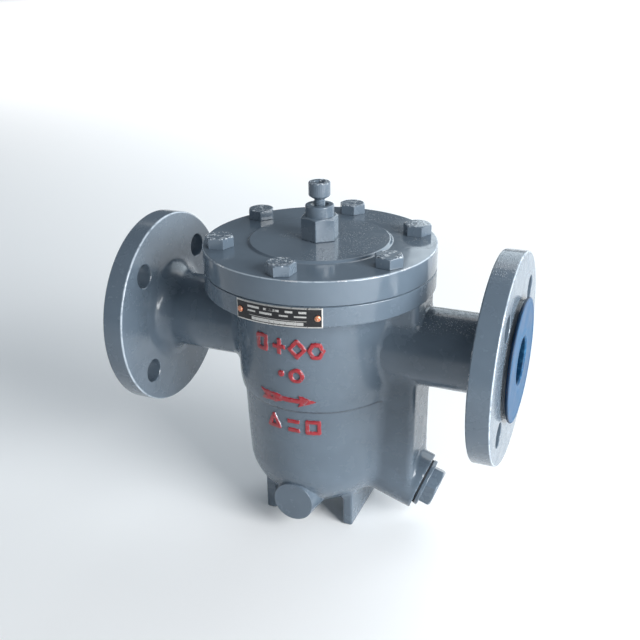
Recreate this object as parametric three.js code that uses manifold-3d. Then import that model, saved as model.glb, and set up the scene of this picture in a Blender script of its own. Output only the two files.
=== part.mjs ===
// A flanged float steam trap: cast body, bolted cover, screw-down air vent, float, seat and plugs.
// Millimetres, +Z up. The feet stand on z = 0, the pipe runs along X through y = 0, and x = 0 is
// the middle of the face to face length.

import * as THREE from 'three';
import { mergeVertices } from 'three/addons/utils/BufferGeometryUtils.js';
import Module from 'manifold-3d';

const wasm = await Module();
wasm.setup();

// ---------------------------------------------------------------- driving dimensions

const GAP = 0.1; // left between faces that rest on each other
const LOOSE = 0.3; // left round a pin, spigot or ring in its bore
const PAST = 5; // how far a cutting tool runs past the face it opens
const EDGE = 1; // usual break on a machined edge
const FINE_EDGE = 0.5; // break on small and thin parts
const SINK = 1; // how far a joined solid reaches into its neighbour
const CROWN = 0.96; // turned crown of a hexagon, as a share of its size across the flats

const FACE_TO_FACE = 290;
const PIPE_Z = 149;
const PIPE_R = 28.5;
const BORE_R = 20;

const FLANGE = { r: 75, thick: 16.2, faceR: 42, faceHigh: 2.5, circleR: 55, holeR: 9, holes: 4 };

const BOWL_X = -1.5; // bowl axis
const BOWL = { upperR: 61.3, ringR: 59.8, lowerR: 58.2, endR: 55.9 };
const BOWL_Z = { base: 11, endTop: 56.3, ring: 110.5, shoulder: 125, flange: 187, top: 201.4 };
const CHAMBER = { upperR: 53, lowerR: 50, endR: 48.4, base: 20.5 };
const FLANGE_FILLET = { bowl: 3, inlet: 14, outlet: 8 };

const COVER = { r: 83.6, thick: 17.3, edge: 2, raisedR: 50, raisedHigh: 1.5, spigotHigh: 3 };
const COVER_BOLT = { count: 6, first: 31.5, circleR: 71.2, shankR: 6, length: 30, across: 18, headHigh: 7.5 };
const COVER_BOLT_HOLE_R = 6.75;
const COVER_BOLT_TURNS = [-26.5, 27, 22.5, -19, -3, 22.5]; // degrees, as each bolt happens to stop

const LEG = { x: 32.3, thick: 7.6, halfWide: 29.6, chamfer: 1.5, top: 40 };
const BLIND_BOSS = { x: -1.5, z: 29.6, faceY: -55.5, faceR: 15.2, rootY: -20, rootR: 20 };
const CHANNEL = { endX: 79.8, halfWide: 21.5, corner: 5, startX: 20 };
const PASSAGE = { x0: 59.5, x1: 73, halfWide: 13, z0: 30 };

const SEAT_TILT = THREE.MathUtils.degToRad(19.6); // the seat axis falls towards the outlet
const SEAT_AXIS_Z = 63.9; // where the seat axis crosses the bowl axis
const SEAT = {
  tip: 46.95, boreR: 9.5, shoulder: 61, hexAcross: 22, end: 67,
  noseR: 5, noseLong: 3, orificeR: 3, throat: 2, wayR: 5,
};
const SEAT_BOSS = { r: 22.4, start: 30, end: 87.8, boreR: 14.5 };
const PLUG = {
  flangeR: 18.5, flangeThick: 3.1, hexAcross: 27.6, hexHigh: 8.8, shank: 15, cupR: 9, cupFloor: 3,
};
const PLUG_TURN = 30; // degrees
const SEAT_WASHER = { r: 12.5, thick: 1 };
const PLUG_WASHER = { r: 17.9, thick: 1 };

const FLOAT = { r: 38, wall: 0.8, breatherR: 1, along: 8.85 };
const FLOAT_RIB = { y: 14, halfWide: 2, halfLong: 8, sunk: 3 };

const VENT = { across: 24, hexHigh: 16.6, collarR: 10.2, collarHigh: 7.7, stemR: 8, stem: 26 };
const VENT_TURN = 9; // degrees
const VENT_SCREW = { neckR: 4, neckHigh: 3.8, headR: 7.7, headHigh: 12.3, coneHigh: 2.6, reach: 12 };
const VENT_SOCKET = { across: 6, deep: 5.5 };
const VENT_WASHER = { r: 11.2, thick: 0.7, seatR: 11.5, seatDeep: 0.8 };
const VENT_BALL_R = 3;
const VENT_BORE = { throatR: 1.5, reliefR: 1.2, reliefUp: 3 };

const PLATE = { thick: 0.8, high: 13.8, from: -108.4, to: -66.6 };
const RIVET = { r: 2.1, high: 1.3, shankR: 1.2, inset: 3.4 };

const CAP = { r: 44, thick: 2.5, cupInnerR: 16.6, cupDeep: 12, floor: 1.5 };

const SCREEN = { thick: 0.9, rows: 3, columns: 7, window: [14, 16] };

// ---------------------------------------------------------------- derived places

const COVER_Z0 = BOWL_Z.top + LOOSE;
const COVER_Z1 = COVER_Z0 + COVER.thick;
const VENT_Z = COVER_Z1 + COVER.raisedHigh;
const SPIGOT_Z = COVER_Z0 - COVER.spigotHigh;
const SEAT_X = new THREE.Vector3(Math.cos(SEAT_TILT), 0, -Math.sin(SEAT_TILT));
const GASKET = { innerR: CHAMBER.upperR + 0.5, outerR: 62, deep: 1.2 };
const FLANGE_BACK = FACE_TO_FACE / 2 - FLANGE.faceHigh - FLANGE.thick;

// ---------------------------------------------------------------- geometry helpers

// A closed three.js geometry as a solid with its faces pointing out.
function toSolid(geometry) {
  const bare = geometry.clone();
  bare.deleteAttribute('normal');
  bare.deleteAttribute('uv');
  const merged = mergeVertices(bare, 1e-4);
  const index = merged.index.array;
  const positions = merged.attributes.position.array;
  const triangles = [];
  let volume = 0;
  for (let i = 0; i < index.length; i += 3) {
    const [a, b, c] = [index[i], index[i + 1], index[i + 2]];
    if (a === b || b === c || c === a) continue;
    triangles.push(a, b, c);
    const [p, q, r] = [a, b, c].map((n) => new THREE.Vector3().fromArray(positions, 3 * n));
    volume += p.dot(q.cross(r));
  }
  if (volume < 0) triangles.reverse();
  const vertProperties = Float32Array.from(positions);
  const triVerts = Uint32Array.from(triangles);
  return new wasm.Manifold(new wasm.Mesh({ numProp: 3, vertProperties, triVerts }));
}

function toGeometry(solid) {
  const { vertProperties, triVerts } = solid.getMesh();
  const geometry = new THREE.BufferGeometry();
  geometry.setAttribute('position', new THREE.BufferAttribute(vertProperties, 3));
  geometry.setIndex(new THREE.BufferAttribute(triVerts, 1));
  geometry.computeVertexNormals();
  return geometry;
}

function join(first, ...others) {
  return others.reduce((whole, other) => whole.add(other), first);
}

function cut(first, ...tools) {
  return tools.reduce((whole, tool) => whole.subtract(tool), first);
}

// An outline of [radius, height] points turned about Z.
function turned(outline, segments) {
  const points = outline.map(([r, h]) => new THREE.Vector2(r, h));
  return new THREE.LatheGeometry(points, segments).rotateX(Math.PI / 2);
}

function rod(r, z0, z1, segments) {
  return turned([[0, z0], [r, z0], [r, z1], [0, z1]], segments);
}

function ring(innerR, outerR, z0, z1, segments) {
  return turned([[innerR, z0], [outerR, z0], [outerR, z1], [innerR, z1], [innerR, z0]], segments);
}

// Points along an elliptical arc, for use in an outline of [radius, height] points.
function arc(centreR, centreH, r, h, from, to, steps) {
  const points = [];
  for (let i = 0; i <= steps; i += 1) {
    const angle = THREE.MathUtils.degToRad(from + ((to - from) * i) / steps);
    points.push([centreR + r * Math.cos(angle), centreH + h * Math.sin(angle)]);
  }
  return points;
}

// Turns a geometry made about Z so that it runs along a direction, then moves it.
function aim(geometry, direction, at) {
  const turn = new THREE.Quaternion().setFromUnitVectors(new THREE.Vector3(0, 0, 1), direction);
  return geometry.applyQuaternion(turn).translate(at.x, at.y, at.z);
}

function box(x0, x1, y0, y1, z0, z1) {
  const block = new THREE.BoxGeometry(x1 - x0, y1 - y0, z1 - z0);
  return block.translate((x0 + x1) / 2, (y0 + y1) / 2, (z0 + z1) / 2);
}

// A rectangle with round corners in X and Y, extruded along Z.
function roundedBox(x0, x1, y0, y1, z0, z1, corner) {
  const shape = new THREE.Shape();
  shape.absarc(x1 - corner, y1 - corner, corner, 0, Math.PI / 2);
  shape.absarc(x0 + corner, y1 - corner, corner, Math.PI / 2, Math.PI);
  shape.absarc(x0 + corner, y0 + corner, corner, Math.PI, 1.5 * Math.PI);
  shape.absarc(x1 - corner, y0 + corner, corner, 1.5 * Math.PI, 2 * Math.PI);
  const settings = { depth: z1 - z0, bevelEnabled: false, curveSegments: 4 };
  return new THREE.ExtrudeGeometry(shape, settings).translate(0, 0, z0);
}

// A hexagonal prism from z0 to z1 with the corners of its upper end turned off.
function hexagon(across, z0, z1) {
  const corner = across / Math.sqrt(3);
  const flat = across / 2;
  const crownR = flat * CROWN;
  const drop = (corner - crownR) * Math.tan(Math.PI / 6);
  const outline = [[0, z0], [corner + SINK, z0], [corner, z1 - drop], [crownR, z1], [0, z1]];
  return toSolid(rod(corner, z0, z1, 6)).intersect(toSolid(turned(outline, 24)));
}

// A point on the seat axis, measured from the bowl axis.
function onSeatAxis(distance) {
  return new THREE.Vector3(BOWL_X, 0, SEAT_AXIS_Z).addScaledVector(SEAT_X, distance);
}

function alongSeat(r, from, to, segments) {
  return toSolid(aim(rod(r, 0, to - from, segments), SEAT_X, onSeatAxis(from)));
}

function onCircle(r, degrees, z, x = 0) {
  const angle = THREE.MathUtils.degToRad(degrees);
  return new THREE.Vector3(x + r * Math.cos(angle), r * Math.sin(angle), z);
}

const boltAngles = Array.from({ length: COVER_BOLT.count }, (_, i) => {
  return COVER_BOLT.first + (360 / COVER_BOLT.count) * i;
});

// ---------------------------------------------------------------- materials

function finish(color, roughness, metalness) {
  return new THREE.MeshStandardMaterial({ color, roughness, metalness });
}

const PAINT = finish(0x7d8794, 0.35, 0.2);
const STEEL = finish(0xb8bcc0, 0.3, 0.9);
const GRAPHITE = finish(0x2b2c2e, 0.8, 0.1);
const COPPER = finish(0xa56a45, 0.4, 0.9);
const BLACK_PLATE = finish(0x15161a, 0.4, 0.3);
const RIVET_RED = finish(0xb85a34, 0.5, 0.4);
const BLUE_PLASTIC = finish(0x4c8ac8, 0.5, 0);

// ---------------------------------------------------------------- body casting

function bowlOutside() {
  const { base, endTop, ring: ringZ, shoulder, flange, top } = BOWL_Z;
  const outline = arc(0, endTop, BOWL.endR, endTop - base, -90, 0, 7);
  outline[0] = [0, base];
  outline.push([BOWL.lowerR, ringZ - 1.5], [BOWL.ringR - 0.4, ringZ], [BOWL.ringR + 0.4, ringZ + 4]);
  outline.push([BOWL.upperR - 0.3, shoulder - 4], [BOWL.upperR, shoulder]);
  outline.push([BOWL.upperR, flange - FLANGE_FILLET.bowl], [BOWL.upperR + FLANGE_FILLET.bowl, flange]);
  outline.push([COVER.r - 1.5, flange], [COVER.r, flange + 1.5], [COVER.r, top], [0, top]);
  return toSolid(turned(outline, 54).translate(BOWL_X, 0, 0));
}

function chamber() {
  const { upperR, lowerR, endR, base } = CHAMBER;
  const { endTop, shoulder, top } = BOWL_Z;
  const outline = arc(0, endTop, endR, endTop - base, -90, 0, 7);
  outline[0] = [0, base];
  outline.push([lowerR, shoulder - 15], [lowerR, shoulder], [upperR, shoulder]);
  outline.push([upperR, top - GASKET.deep], [GASKET.outerR + LOOSE, top - GASKET.deep]);
  outline.push([GASKET.outerR + LOOSE, top + PAST], [0, top + PAST]);
  return toSolid(turned(outline, 36).translate(BOWL_X, 0, 0));
}

// Pipe stub and flange on one side; side is -1 for the inlet and 1 for the outlet.
function pipeArm(side, fillet) {
  const root = 45;
  const back = FLANGE_BACK;
  const front = back + FLANGE.thick;
  const outline = [[0, root], [PIPE_R, root], [PIPE_R, back - fillet]];
  outline.push(...arc(PIPE_R + fillet, back - fillet, fillet, fillet, 180, 90, 3).slice(1));
  outline.push([FLANGE.r - EDGE, back], [FLANGE.r, back + EDGE], [FLANGE.r, front - EDGE]);
  outline.push([FLANGE.r - EDGE, front], [FLANGE.faceR, front], [FLANGE.faceR, front + FLANGE.faceHigh]);
  outline.push([0, front + FLANGE.faceHigh]);
  const direction = new THREE.Vector3(side, 0, 0);
  return toSolid(aim(turned(outline, 42), direction, new THREE.Vector3(0, 0, PIPE_Z)));
}

function flangeHoles(side) {
  const direction = new THREE.Vector3(side, 0, 0);
  return Array.from({ length: FLANGE.holes }, (_, i) => {
    const angle = (Math.PI / 2) * (i + 0.5);
    const y = FLANGE.circleR * Math.cos(angle);
    const z = PIPE_Z + FLANGE.circleR * Math.sin(angle);
    const drill = rod(FLANGE.holeR, FLANGE_BACK - PAST, FACE_TO_FACE / 2 + PAST, 16);
    return toSolid(aim(drill, direction, new THREE.Vector3(0, y, z)));
  });
}

// The square trunk that leads condensate from the seat up to the outlet.
function channelTrunk() {
  const { startX, endX, halfWide, corner } = CHANNEL;
  const x0 = BOWL_X + startX;
  const x1 = BOWL_X + endX;
  const trunk = toSolid(roundedBox(x0, x1, -halfWide, halfWide, 20, BOWL_Z.flange + 2, corner));
  const below = box(-100, 100, -60, 60, -80, 0).rotateY(SEAT_TILT);
  below.translate(BOWL_X, 0, SEAT_AXIS_Z);
  return trunk.subtract(toSolid(below));
}

function legs() {
  const { x, thick, halfWide, chamfer, top } = LEG;
  return [-1, 1].map((side) => {
    const centre = BOWL_X + side * x;
    const shape = new THREE.Shape();
    shape.moveTo(-halfWide + chamfer, 0).lineTo(halfWide - chamfer, 0);
    shape.lineTo(halfWide, chamfer).lineTo(halfWide, top);
    shape.lineTo(-halfWide, top).lineTo(-halfWide, chamfer);
    const plate = new THREE.ExtrudeGeometry(shape, { depth: thick, bevelEnabled: false });
    plate.rotateX(Math.PI / 2).rotateZ(Math.PI / 2).translate(centre - thick / 2, 0, 0);
    return toSolid(plate);
  });
}

function blindBoss() {
  const { x, z, faceY, faceR, rootY, rootR } = BLIND_BOSS;
  const long = rootY - faceY;
  const outline = [[0, 0], [rootR, 0], [faceR + EDGE, long - 4 * EDGE], [faceR, long - EDGE]];
  outline.push([faceR - EDGE, long], [0, long]);
  const direction = new THREE.Vector3(0, -1, 0);
  return toSolid(aim(turned(outline, 28), direction, new THREE.Vector3(BOWL_X + x, rootY, z)));
}

// Two low ribs in the bowl that the float settles on.
function floatRibs() {
  const { y: offset, halfWide, halfLong, sunk } = FLOAT_RIB;
  const floatAt = onSeatAxis(FLOAT.along);
  const top = floatAt.z - Math.sqrt(FLOAT.r ** 2 - (offset - halfWide) ** 2) - LOOSE;
  const [x0, x1] = [floatAt.x - halfLong, floatAt.x + halfLong];
  return [-offset, offset].map((y) => {
    return toSolid(box(x0, x1, y - halfWide, y + halfWide, CHAMBER.base - sunk, top));
  });
}

function body() {
  const outside = join(
    bowlOutside(),
    pipeArm(-1, FLANGE_FILLET.inlet),
    pipeArm(1, FLANGE_FILLET.outlet),
    channelTrunk(),
    alongSeat(SEAT_BOSS.r, SEAT_BOSS.start, SEAT_BOSS.end, 32),
    blindBoss(),
    ...legs(),
  );
  const { x0, x1, halfWide, z0 } = PASSAGE;
  const passage = roundedBox(BOWL_X + x0, BOWL_X + x1, -halfWide, halfWide, z0, PIPE_Z, CHANNEL.corner);
  const inlet = rod(BORE_R, CHAMBER.lowerR - PAST, FACE_TO_FACE / 2 + PAST, 32);
  const outlet = rod(BORE_R, BOWL_X + x0, FACE_TO_FACE / 2 + PAST, 32);
  const pipeCentre = new THREE.Vector3(0, 0, PIPE_Z);
  const boltTool = () => rod(COVER_BOLT.shankR + LOOSE, BOWL_Z.flange - PAST, BOWL_Z.top + PAST, 14);
  const hollow = cut(
    outside,
    chamber(),
    toSolid(aim(inlet, new THREE.Vector3(-1, 0, 0), pipeCentre)),
    toSolid(aim(outlet, new THREE.Vector3(1, 0, 0), pipeCentre)),
    toSolid(passage),
    alongSeat(SEAT.boreR, SEAT.tip - 7, SEAT.shoulder + GAP, 24),
    alongSeat(SEAT_BOSS.boreR, SEAT.shoulder, SEAT_BOSS.end + PAST, 28),
    ...flangeHoles(-1),
    ...flangeHoles(1),
    ...boltAngles.map((angle) => {
      const at = onCircle(COVER_BOLT.circleR, angle, 0, BOWL_X);
      return toSolid(boltTool().translate(at.x, at.y, 0));
    }),
  );
  return join(hollow, ...floatRibs());
}

// ---------------------------------------------------------------- cover and its fasteners

function cover() {
  const { r, thick, edge, raisedR, raisedHigh, spigotHigh } = COVER;
  const outline = [[0, -spigotHigh], [CHAMBER.upperR - LOOSE, -spigotHigh]];
  outline.push([CHAMBER.upperR - LOOSE, 0], [r - FINE_EDGE, 0], [r, FINE_EDGE], [r, thick - edge]);
  outline.push([r - edge * 0.3, thick - edge * 0.3], [r - edge, thick]);
  outline.push([raisedR + raisedHigh, thick], [raisedR, thick + raisedHigh]);
  outline.push([0, thick + raisedHigh]);
  const holes = boltAngles.map((angle) => {
    const at = onCircle(COVER_BOLT.circleR, angle, 0);
    return toSolid(rod(COVER_BOLT_HOLE_R, -PAST, thick + PAST, 14).translate(at.x, at.y, 0));
  });
  const ventHole = toSolid(rod(VENT.stemR + LOOSE, -PAST, thick + PAST, 20));
  const { seatR, seatDeep } = VENT_WASHER;
  const washerSeat = toSolid(rod(seatR, thick + raisedHigh - seatDeep, thick + PAST, 24));
  return cut(toSolid(turned(outline, 60)), ventHole, washerSeat, ...holes);
}

function coverBolt() {
  const { shankR, length, across, headHigh } = COVER_BOLT;
  const shank = [[0, -length], [shankR - EDGE, -length], [shankR, EDGE - length]];
  shank.push([shankR, SINK], [0, SINK]);
  return join(hexagon(across, 0, headHigh), toSolid(turned(shank, 12)));
}

function gasket(innerR, outerR, thick, segments) {
  return toSolid(ring(innerR, outerR, 0, thick, segments));
}

// ---------------------------------------------------------------- air vent

// Height zero is the underside of the hexagon.
function ventBody() {
  const { across, hexHigh, collarR, collarHigh, stemR, stem } = VENT;
  const top = hexHigh + collarHigh;
  const collar = [[0, hexHigh - SINK], [collarR, hexHigh - SINK], [collarR, top - FINE_EDGE]];
  collar.push([collarR - FINE_EDGE, top], [0, top]);
  const outside = join(
    hexagon(across, 0, hexHigh),
    toSolid(turned(collar, 28)),
    toSolid(rod(stemR, -stem, SINK, 20)),
  );
  const seatZ = ballHeight() - VENT_BALL_R * Math.SQRT1_2;
  const wide = VENT_SCREW.neckR + LOOSE;
  const { throatR, reliefR, reliefUp } = VENT_BORE;
  const seatHalf = (wide - throatR) / 2;
  const bore = [[0, -stem - PAST], [throatR, -stem - PAST], [throatR, seatZ - seatHalf]];
  bore.push([wide, seatZ + seatHalf], [wide, top + PAST], [0, top + PAST]);
  const reliefAt = new THREE.Vector3(0, 0, hexHigh + reliefUp);
  const relief = aim(rod(reliefR, 0, collarR + PAST, 8), new THREE.Vector3(0, 1, 0), reliefAt);
  return cut(outside, toSolid(turned(bore, 20)), toSolid(relief));
}

// Centre of the vent ball above the underside of the vent hexagon.
function ballHeight() {
  return VENT.hexHigh + VENT.collarHigh - VENT_SCREW.reach - VENT_BALL_R;
}

function ventBall() {
  return toSolid(new THREE.SphereGeometry(VENT_BALL_R - GAP, 12, 8));
}

// Height zero is the underside of the screw head.
function ventScrew() {
  const { neckR, neckHigh, headR, headHigh, coneHigh, reach } = VENT_SCREW;
  const tip = -neckHigh - reach + GAP;
  const outline = [[0, tip], [neckR - EDGE, tip], [neckR, tip + EDGE], [neckR, 0], [neckR + EDGE, 0]];
  outline.push([headR, coneHigh], [headR, headHigh - EDGE], [headR - EDGE, headHigh], [0, headHigh]);
  const { across, deep } = VENT_SOCKET;
  const hole = rod(across / Math.sqrt(3), headHigh - deep, headHigh + PAST, 6);
  return cut(toSolid(turned(outline, 28)), toSolid(hole));
}

// ---------------------------------------------------------------- seat, plug and float

// These are made along +Z with height zero at the part's end towards the bowl.
function seat() {
  const { tip, boreR, shoulder, hexAcross, end, noseR, noseLong, orificeR, throat, wayR } = SEAT;
  const outerR = boreR - LOOSE;
  const long = end - tip;
  const step = shoulder - tip + SEAT_WASHER.thick + 2 * GAP;
  const outline = [[0, 0], [noseR, 0], [outerR, noseLong], [outerR, step + SINK], [0, step + SINK]];
  const bore = [[0, -PAST], [orificeR, -PAST], [orificeR, throat], [wayR, throat + wayR - orificeR]];
  bore.push([wayR, long + PAST], [0, long + PAST]);
  const outside = toSolid(turned(outline, 24)).add(hexagon(hexAcross, step, long));
  return cut(outside, toSolid(turned(bore, 16)));
}

// Height zero is the plug flange's face on the gasket; the head points along +Z.
function seatPlug() {
  const { flangeR, flangeThick, hexAcross, hexHigh, shank, cupR, cupFloor } = PLUG;
  const shankR = SEAT_BOSS.boreR - LOOSE;
  const outline = [[0, -shank], [shankR - EDGE, -shank], [shankR, EDGE - shank], [shankR, 0]];
  outline.push([flangeR, 0], [flangeR, flangeThick - FINE_EDGE]);
  outline.push([flangeR - FINE_EDGE, flangeThick], [0, flangeThick]);
  const head = hexagon(hexAcross, flangeThick - SINK, flangeThick + hexHigh);
  const cup = toSolid(rod(cupR, -shank - PAST, -cupFloor, 20));
  return cut(join(toSolid(turned(outline, 32)), head), cup);
}

// A thin-walled ball with the breather hole left from welding.
function floatBall() {
  const outside = toSolid(new THREE.SphereGeometry(FLOAT.r, 26, 15));
  const inside = toSolid(new THREE.SphereGeometry(FLOAT.r - FLOAT.wall, 26, 15));
  const breather = toSolid(rod(FLOAT.breatherR, 0, FLOAT.r + PAST, 8));
  return cut(outside, inside, breather);
}

// A perforated sleeve that stands on the ledge in the chamber, across the inlet.
function strainerScreen() {
  const outerR = CHAMBER.upperR - 2 * LOOSE;
  const z0 = BOWL_Z.shoulder + LOOSE;
  const z1 = SPIGOT_Z - LOOSE;
  const pitch = (z1 - z0) / SCREEN.rows;
  const [wide, high] = SCREEN.window;
  const bars = [];
  for (let row = 0; row < SCREEN.rows; row += 1) {
    for (let column = 0; column < SCREEN.columns; column += 1) {
      const z = z0 + pitch * (row + 0.5);
      const reach = outerR + PAST;
      const bar = box(-reach, reach, -wide / 2, wide / 2, z - high / 2, z + high / 2);
      bars.push(toSolid(bar.rotateZ((Math.PI / SCREEN.columns) * (column + 0.5))));
    }
  }
  return cut(toSolid(ring(outerR - SCREEN.thick, outerR, z0, z1, 36)), ...bars);
}

// ---------------------------------------------------------------- nameplate and caps

// A plate bent to the rim of the body flange, centred on height zero.
function nameplate() {
  const shape = new THREE.Shape();
  const innerR = COVER.r + GAP;
  const outerR = innerR + PLATE.thick;
  const from = THREE.MathUtils.degToRad(PLATE.from);
  const to = THREE.MathUtils.degToRad(PLATE.to);
  shape.absarc(0, 0, outerR, from, to, false);
  shape.absarc(0, 0, innerR, to, from, true);
  const settings = { depth: PLATE.high, bevelEnabled: false, curveSegments: 12 };
  const plate = new THREE.ExtrudeGeometry(shape, settings).translate(0, 0, -PLATE.high / 2);
  const inset = THREE.MathUtils.radToDeg(RIVET.inset / COVER.r);
  const holes = [PLATE.from + inset, PLATE.to - inset].map((angle) => {
    const direction = onCircle(1, angle, 0);
    const drill = rod(RIVET.shankR + LOOSE, innerR - PAST, outerR + PAST, 8);
    return toSolid(aim(drill, direction, new THREE.Vector3()));
  });
  return cut(toSolid(plate), ...holes);
}

// Height zero is the underside of the head.
function rivet() {
  const { r, high, shankR } = RIVET;
  const dome = arc(0, 0.3, r, high - 0.3, 0, 90, 3);
  dome[dome.length - 1][0] = 0;
  const outline = [[0, -PLATE.thick], [shankR, -PLATE.thick], [shankR, 0], [r, 0], ...dome];
  return toSolid(turned(outline, 12));
}

// Height zero is the flange's raised face; the cup goes into the bore.
function flangeCap() {
  const { r, thick, cupInnerR, cupDeep, floor } = CAP;
  const cupR = BORE_R - LOOSE;
  const outline = [[0, -cupDeep], [cupR, -cupDeep], [cupR, GAP], [r, GAP], [r, thick - FINE_EDGE]];
  outline.push([r - FINE_EDGE, thick], [cupInnerR + FINE_EDGE, thick]);
  outline.push([cupInnerR, thick - FINE_EDGE]);
  outline.push([cupInnerR, floor - cupDeep], [0, floor - cupDeep]);
  return toSolid(turned(outline, 36));
}

// ---------------------------------------------------------------- assembly

const trap = new THREE.Group();

function addPart(parent, name, solid, material, position, rotation) {
  const mesh = new THREE.Mesh(toGeometry(solid), material);
  mesh.name = name;
  if (position) mesh.position.copy(position);
  if (rotation) mesh.rotation.copy(rotation);
  parent.add(mesh);
  return mesh;
}

function addGroup(position, rotation) {
  const group = new THREE.Group();
  group.position.copy(position);
  if (rotation) group.rotation.copy(rotation);
  trap.add(group);
  return group;
}

const deg = THREE.MathUtils.degToRad;

addPart(trap, 'body', body(), PAINT);

const onBowl = addGroup(new THREE.Vector3(BOWL_X, 0, 0));
const gasketZ = BOWL_Z.top - GASKET.deep + GAP;
const coverGasket = gasket(GASKET.innerR, GASKET.outerR, GASKET.deep, 40);
addPart(onBowl, 'cover_gasket', coverGasket, GRAPHITE, new THREE.Vector3(0, 0, gasketZ));
addPart(onBowl, 'cover', cover(), PAINT, new THREE.Vector3(0, 0, COVER_Z0));
boltAngles.forEach((angle, i) => {
  const at = onCircle(COVER_BOLT.circleR, angle, COVER_Z1 + GAP);
  const turn = new THREE.Euler(0, 0, deg(COVER_BOLT_TURNS[i]));
  addPart(onBowl, `cover_bolt_${i + 1}`, coverBolt(), PAINT, at, turn);
});
addPart(onBowl, 'strainer_screen', strainerScreen(), STEEL);

const vent = addGroup(new THREE.Vector3(BOWL_X, 0, VENT_Z + GAP));
const ventTurn = new THREE.Euler(0, 0, deg(VENT_TURN));
const screwZ = VENT.hexHigh + VENT.collarHigh + VENT_SCREW.neckHigh;
addPart(vent, 'vent_body', ventBody(), PAINT, null, ventTurn);
const ventGasket = gasket(VENT.stemR + LOOSE, VENT_WASHER.r, VENT_WASHER.thick, 24);
const washerZ = GAP / 2 - VENT_WASHER.seatDeep - GAP;
addPart(vent, 'vent_gasket', ventGasket, COPPER, new THREE.Vector3(0, 0, washerZ));
addPart(vent, 'vent_ball', ventBall(), STEEL, new THREE.Vector3(0, 0, ballHeight()));
addPart(vent, 'vent_screw', ventScrew(), PAINT, new THREE.Vector3(0, 0, screwZ));

const seatLine = addGroup(onSeatAxis(0), new THREE.Euler(0, Math.PI / 2 + SEAT_TILT, 0));
const plugZ = SEAT_BOSS.end + PLUG_WASHER.thick + 2 * GAP;
const plugTurn = new THREE.Euler(0, 0, deg(PLUG_TURN));
addPart(seatLine, 'seat', seat(), STEEL, new THREE.Vector3(0, 0, SEAT.tip));
const seatGasket = gasket(SEAT.boreR + LOOSE, SEAT_WASHER.r, SEAT_WASHER.thick, 24);
addPart(seatLine, 'seat_gasket', seatGasket, COPPER, new THREE.Vector3(0, 0, SEAT.shoulder + GAP));
const plugGasket = gasket(SEAT_BOSS.boreR + LOOSE, PLUG_WASHER.r, PLUG_WASHER.thick, 28);
addPart(seatLine, 'plug_gasket', plugGasket, GRAPHITE, new THREE.Vector3(0, 0, SEAT_BOSS.end + GAP));
addPart(seatLine, 'seat_plug', seatPlug(), PAINT, new THREE.Vector3(0, 0, plugZ), plugTurn);

addPart(trap, 'float_ball', floatBall(), STEEL, onSeatAxis(FLOAT.along));

const rim = addGroup(new THREE.Vector3(BOWL_X, 0, (BOWL_Z.flange + BOWL_Z.top) / 2));
addPart(rim, 'nameplate', nameplate(), BLACK_PLATE);
const rivetInset = THREE.MathUtils.radToDeg(RIVET.inset / COVER.r);
const rivets = [
  ['nameplate_rivet_left', PLATE.from + rivetInset],
  ['nameplate_rivet_right', PLATE.to - rivetInset],
];
for (const [name, angle] of rivets) {
  const at = onCircle(COVER.r + 2 * GAP + PLATE.thick + GAP, angle, 0);
  const turn = new THREE.Euler().setFromQuaternion(
    new THREE.Quaternion().setFromUnitVectors(new THREE.Vector3(0, 0, 1), onCircle(1, angle, 0)),
  );
  addPart(rim, name, rivet(), RIVET_RED, at, turn);
}

for (const [name, side] of [['inlet_cap', -1], ['outlet_cap', 1]]) {
  const at = new THREE.Vector3((side * FACE_TO_FACE) / 2, 0, PIPE_Z);
  addPart(trap, name, flangeCap(), BLUE_PLASTIC, at, new THREE.Euler(0, (side * Math.PI) / 2, 0));
}

export default trap;
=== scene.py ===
"""Looks of the flanged float steam trap: fine meshes, paint and other finishes, floor, light, camera."""

import math

import bpy
import numpy as np
from mathutils import Matrix, Vector


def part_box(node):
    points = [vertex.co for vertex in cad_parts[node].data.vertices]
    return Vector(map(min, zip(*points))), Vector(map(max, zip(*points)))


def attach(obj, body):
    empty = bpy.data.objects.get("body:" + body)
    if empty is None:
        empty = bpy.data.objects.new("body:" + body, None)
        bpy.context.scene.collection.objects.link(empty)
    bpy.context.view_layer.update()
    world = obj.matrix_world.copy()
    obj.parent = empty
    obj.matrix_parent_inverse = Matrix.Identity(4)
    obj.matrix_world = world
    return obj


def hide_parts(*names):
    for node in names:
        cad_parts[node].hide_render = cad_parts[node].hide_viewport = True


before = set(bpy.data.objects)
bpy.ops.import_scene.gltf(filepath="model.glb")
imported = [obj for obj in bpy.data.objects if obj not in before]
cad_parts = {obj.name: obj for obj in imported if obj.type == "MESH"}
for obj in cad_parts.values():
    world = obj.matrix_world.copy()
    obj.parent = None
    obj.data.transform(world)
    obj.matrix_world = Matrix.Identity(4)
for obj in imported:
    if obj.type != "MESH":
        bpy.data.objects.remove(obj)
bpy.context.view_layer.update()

# ---- sizes, in millimetres

MM = 0.001


def node_box(node):
    """Lowest and highest corner of a CAD node, in millimetres."""
    low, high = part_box(node)
    return np.array(low) / MM, np.array(high) / MM


def node_centre(node):
    low, high = node_box(node)
    return (low + high) / 2


COVER_LOW, COVER_HIGH = node_box("cover")
AXIS_X = (COVER_LOW[0] + COVER_HIGH[0]) / 2
COVER_R = (COVER_HIGH[0] - COVER_LOW[0]) / 2
PIPE_Z = node_centre("outlet_cap")[2]
FACE_X = node_box("body")[1][0]

RAISED_HIGH = 1.5
RAISED_R = 50
SPIGOT_HIGH = 3
COVER_TOP = COVER_HIGH[2] - RAISED_HIGH
COVER_LOW_Z = COVER_LOW[2] + SPIGOT_HIGH
RIM_TOP = COVER_LOW_Z - 0.3
RIM_LOW = RIM_TOP - 14.4

PIPE_R = 28.5
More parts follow.
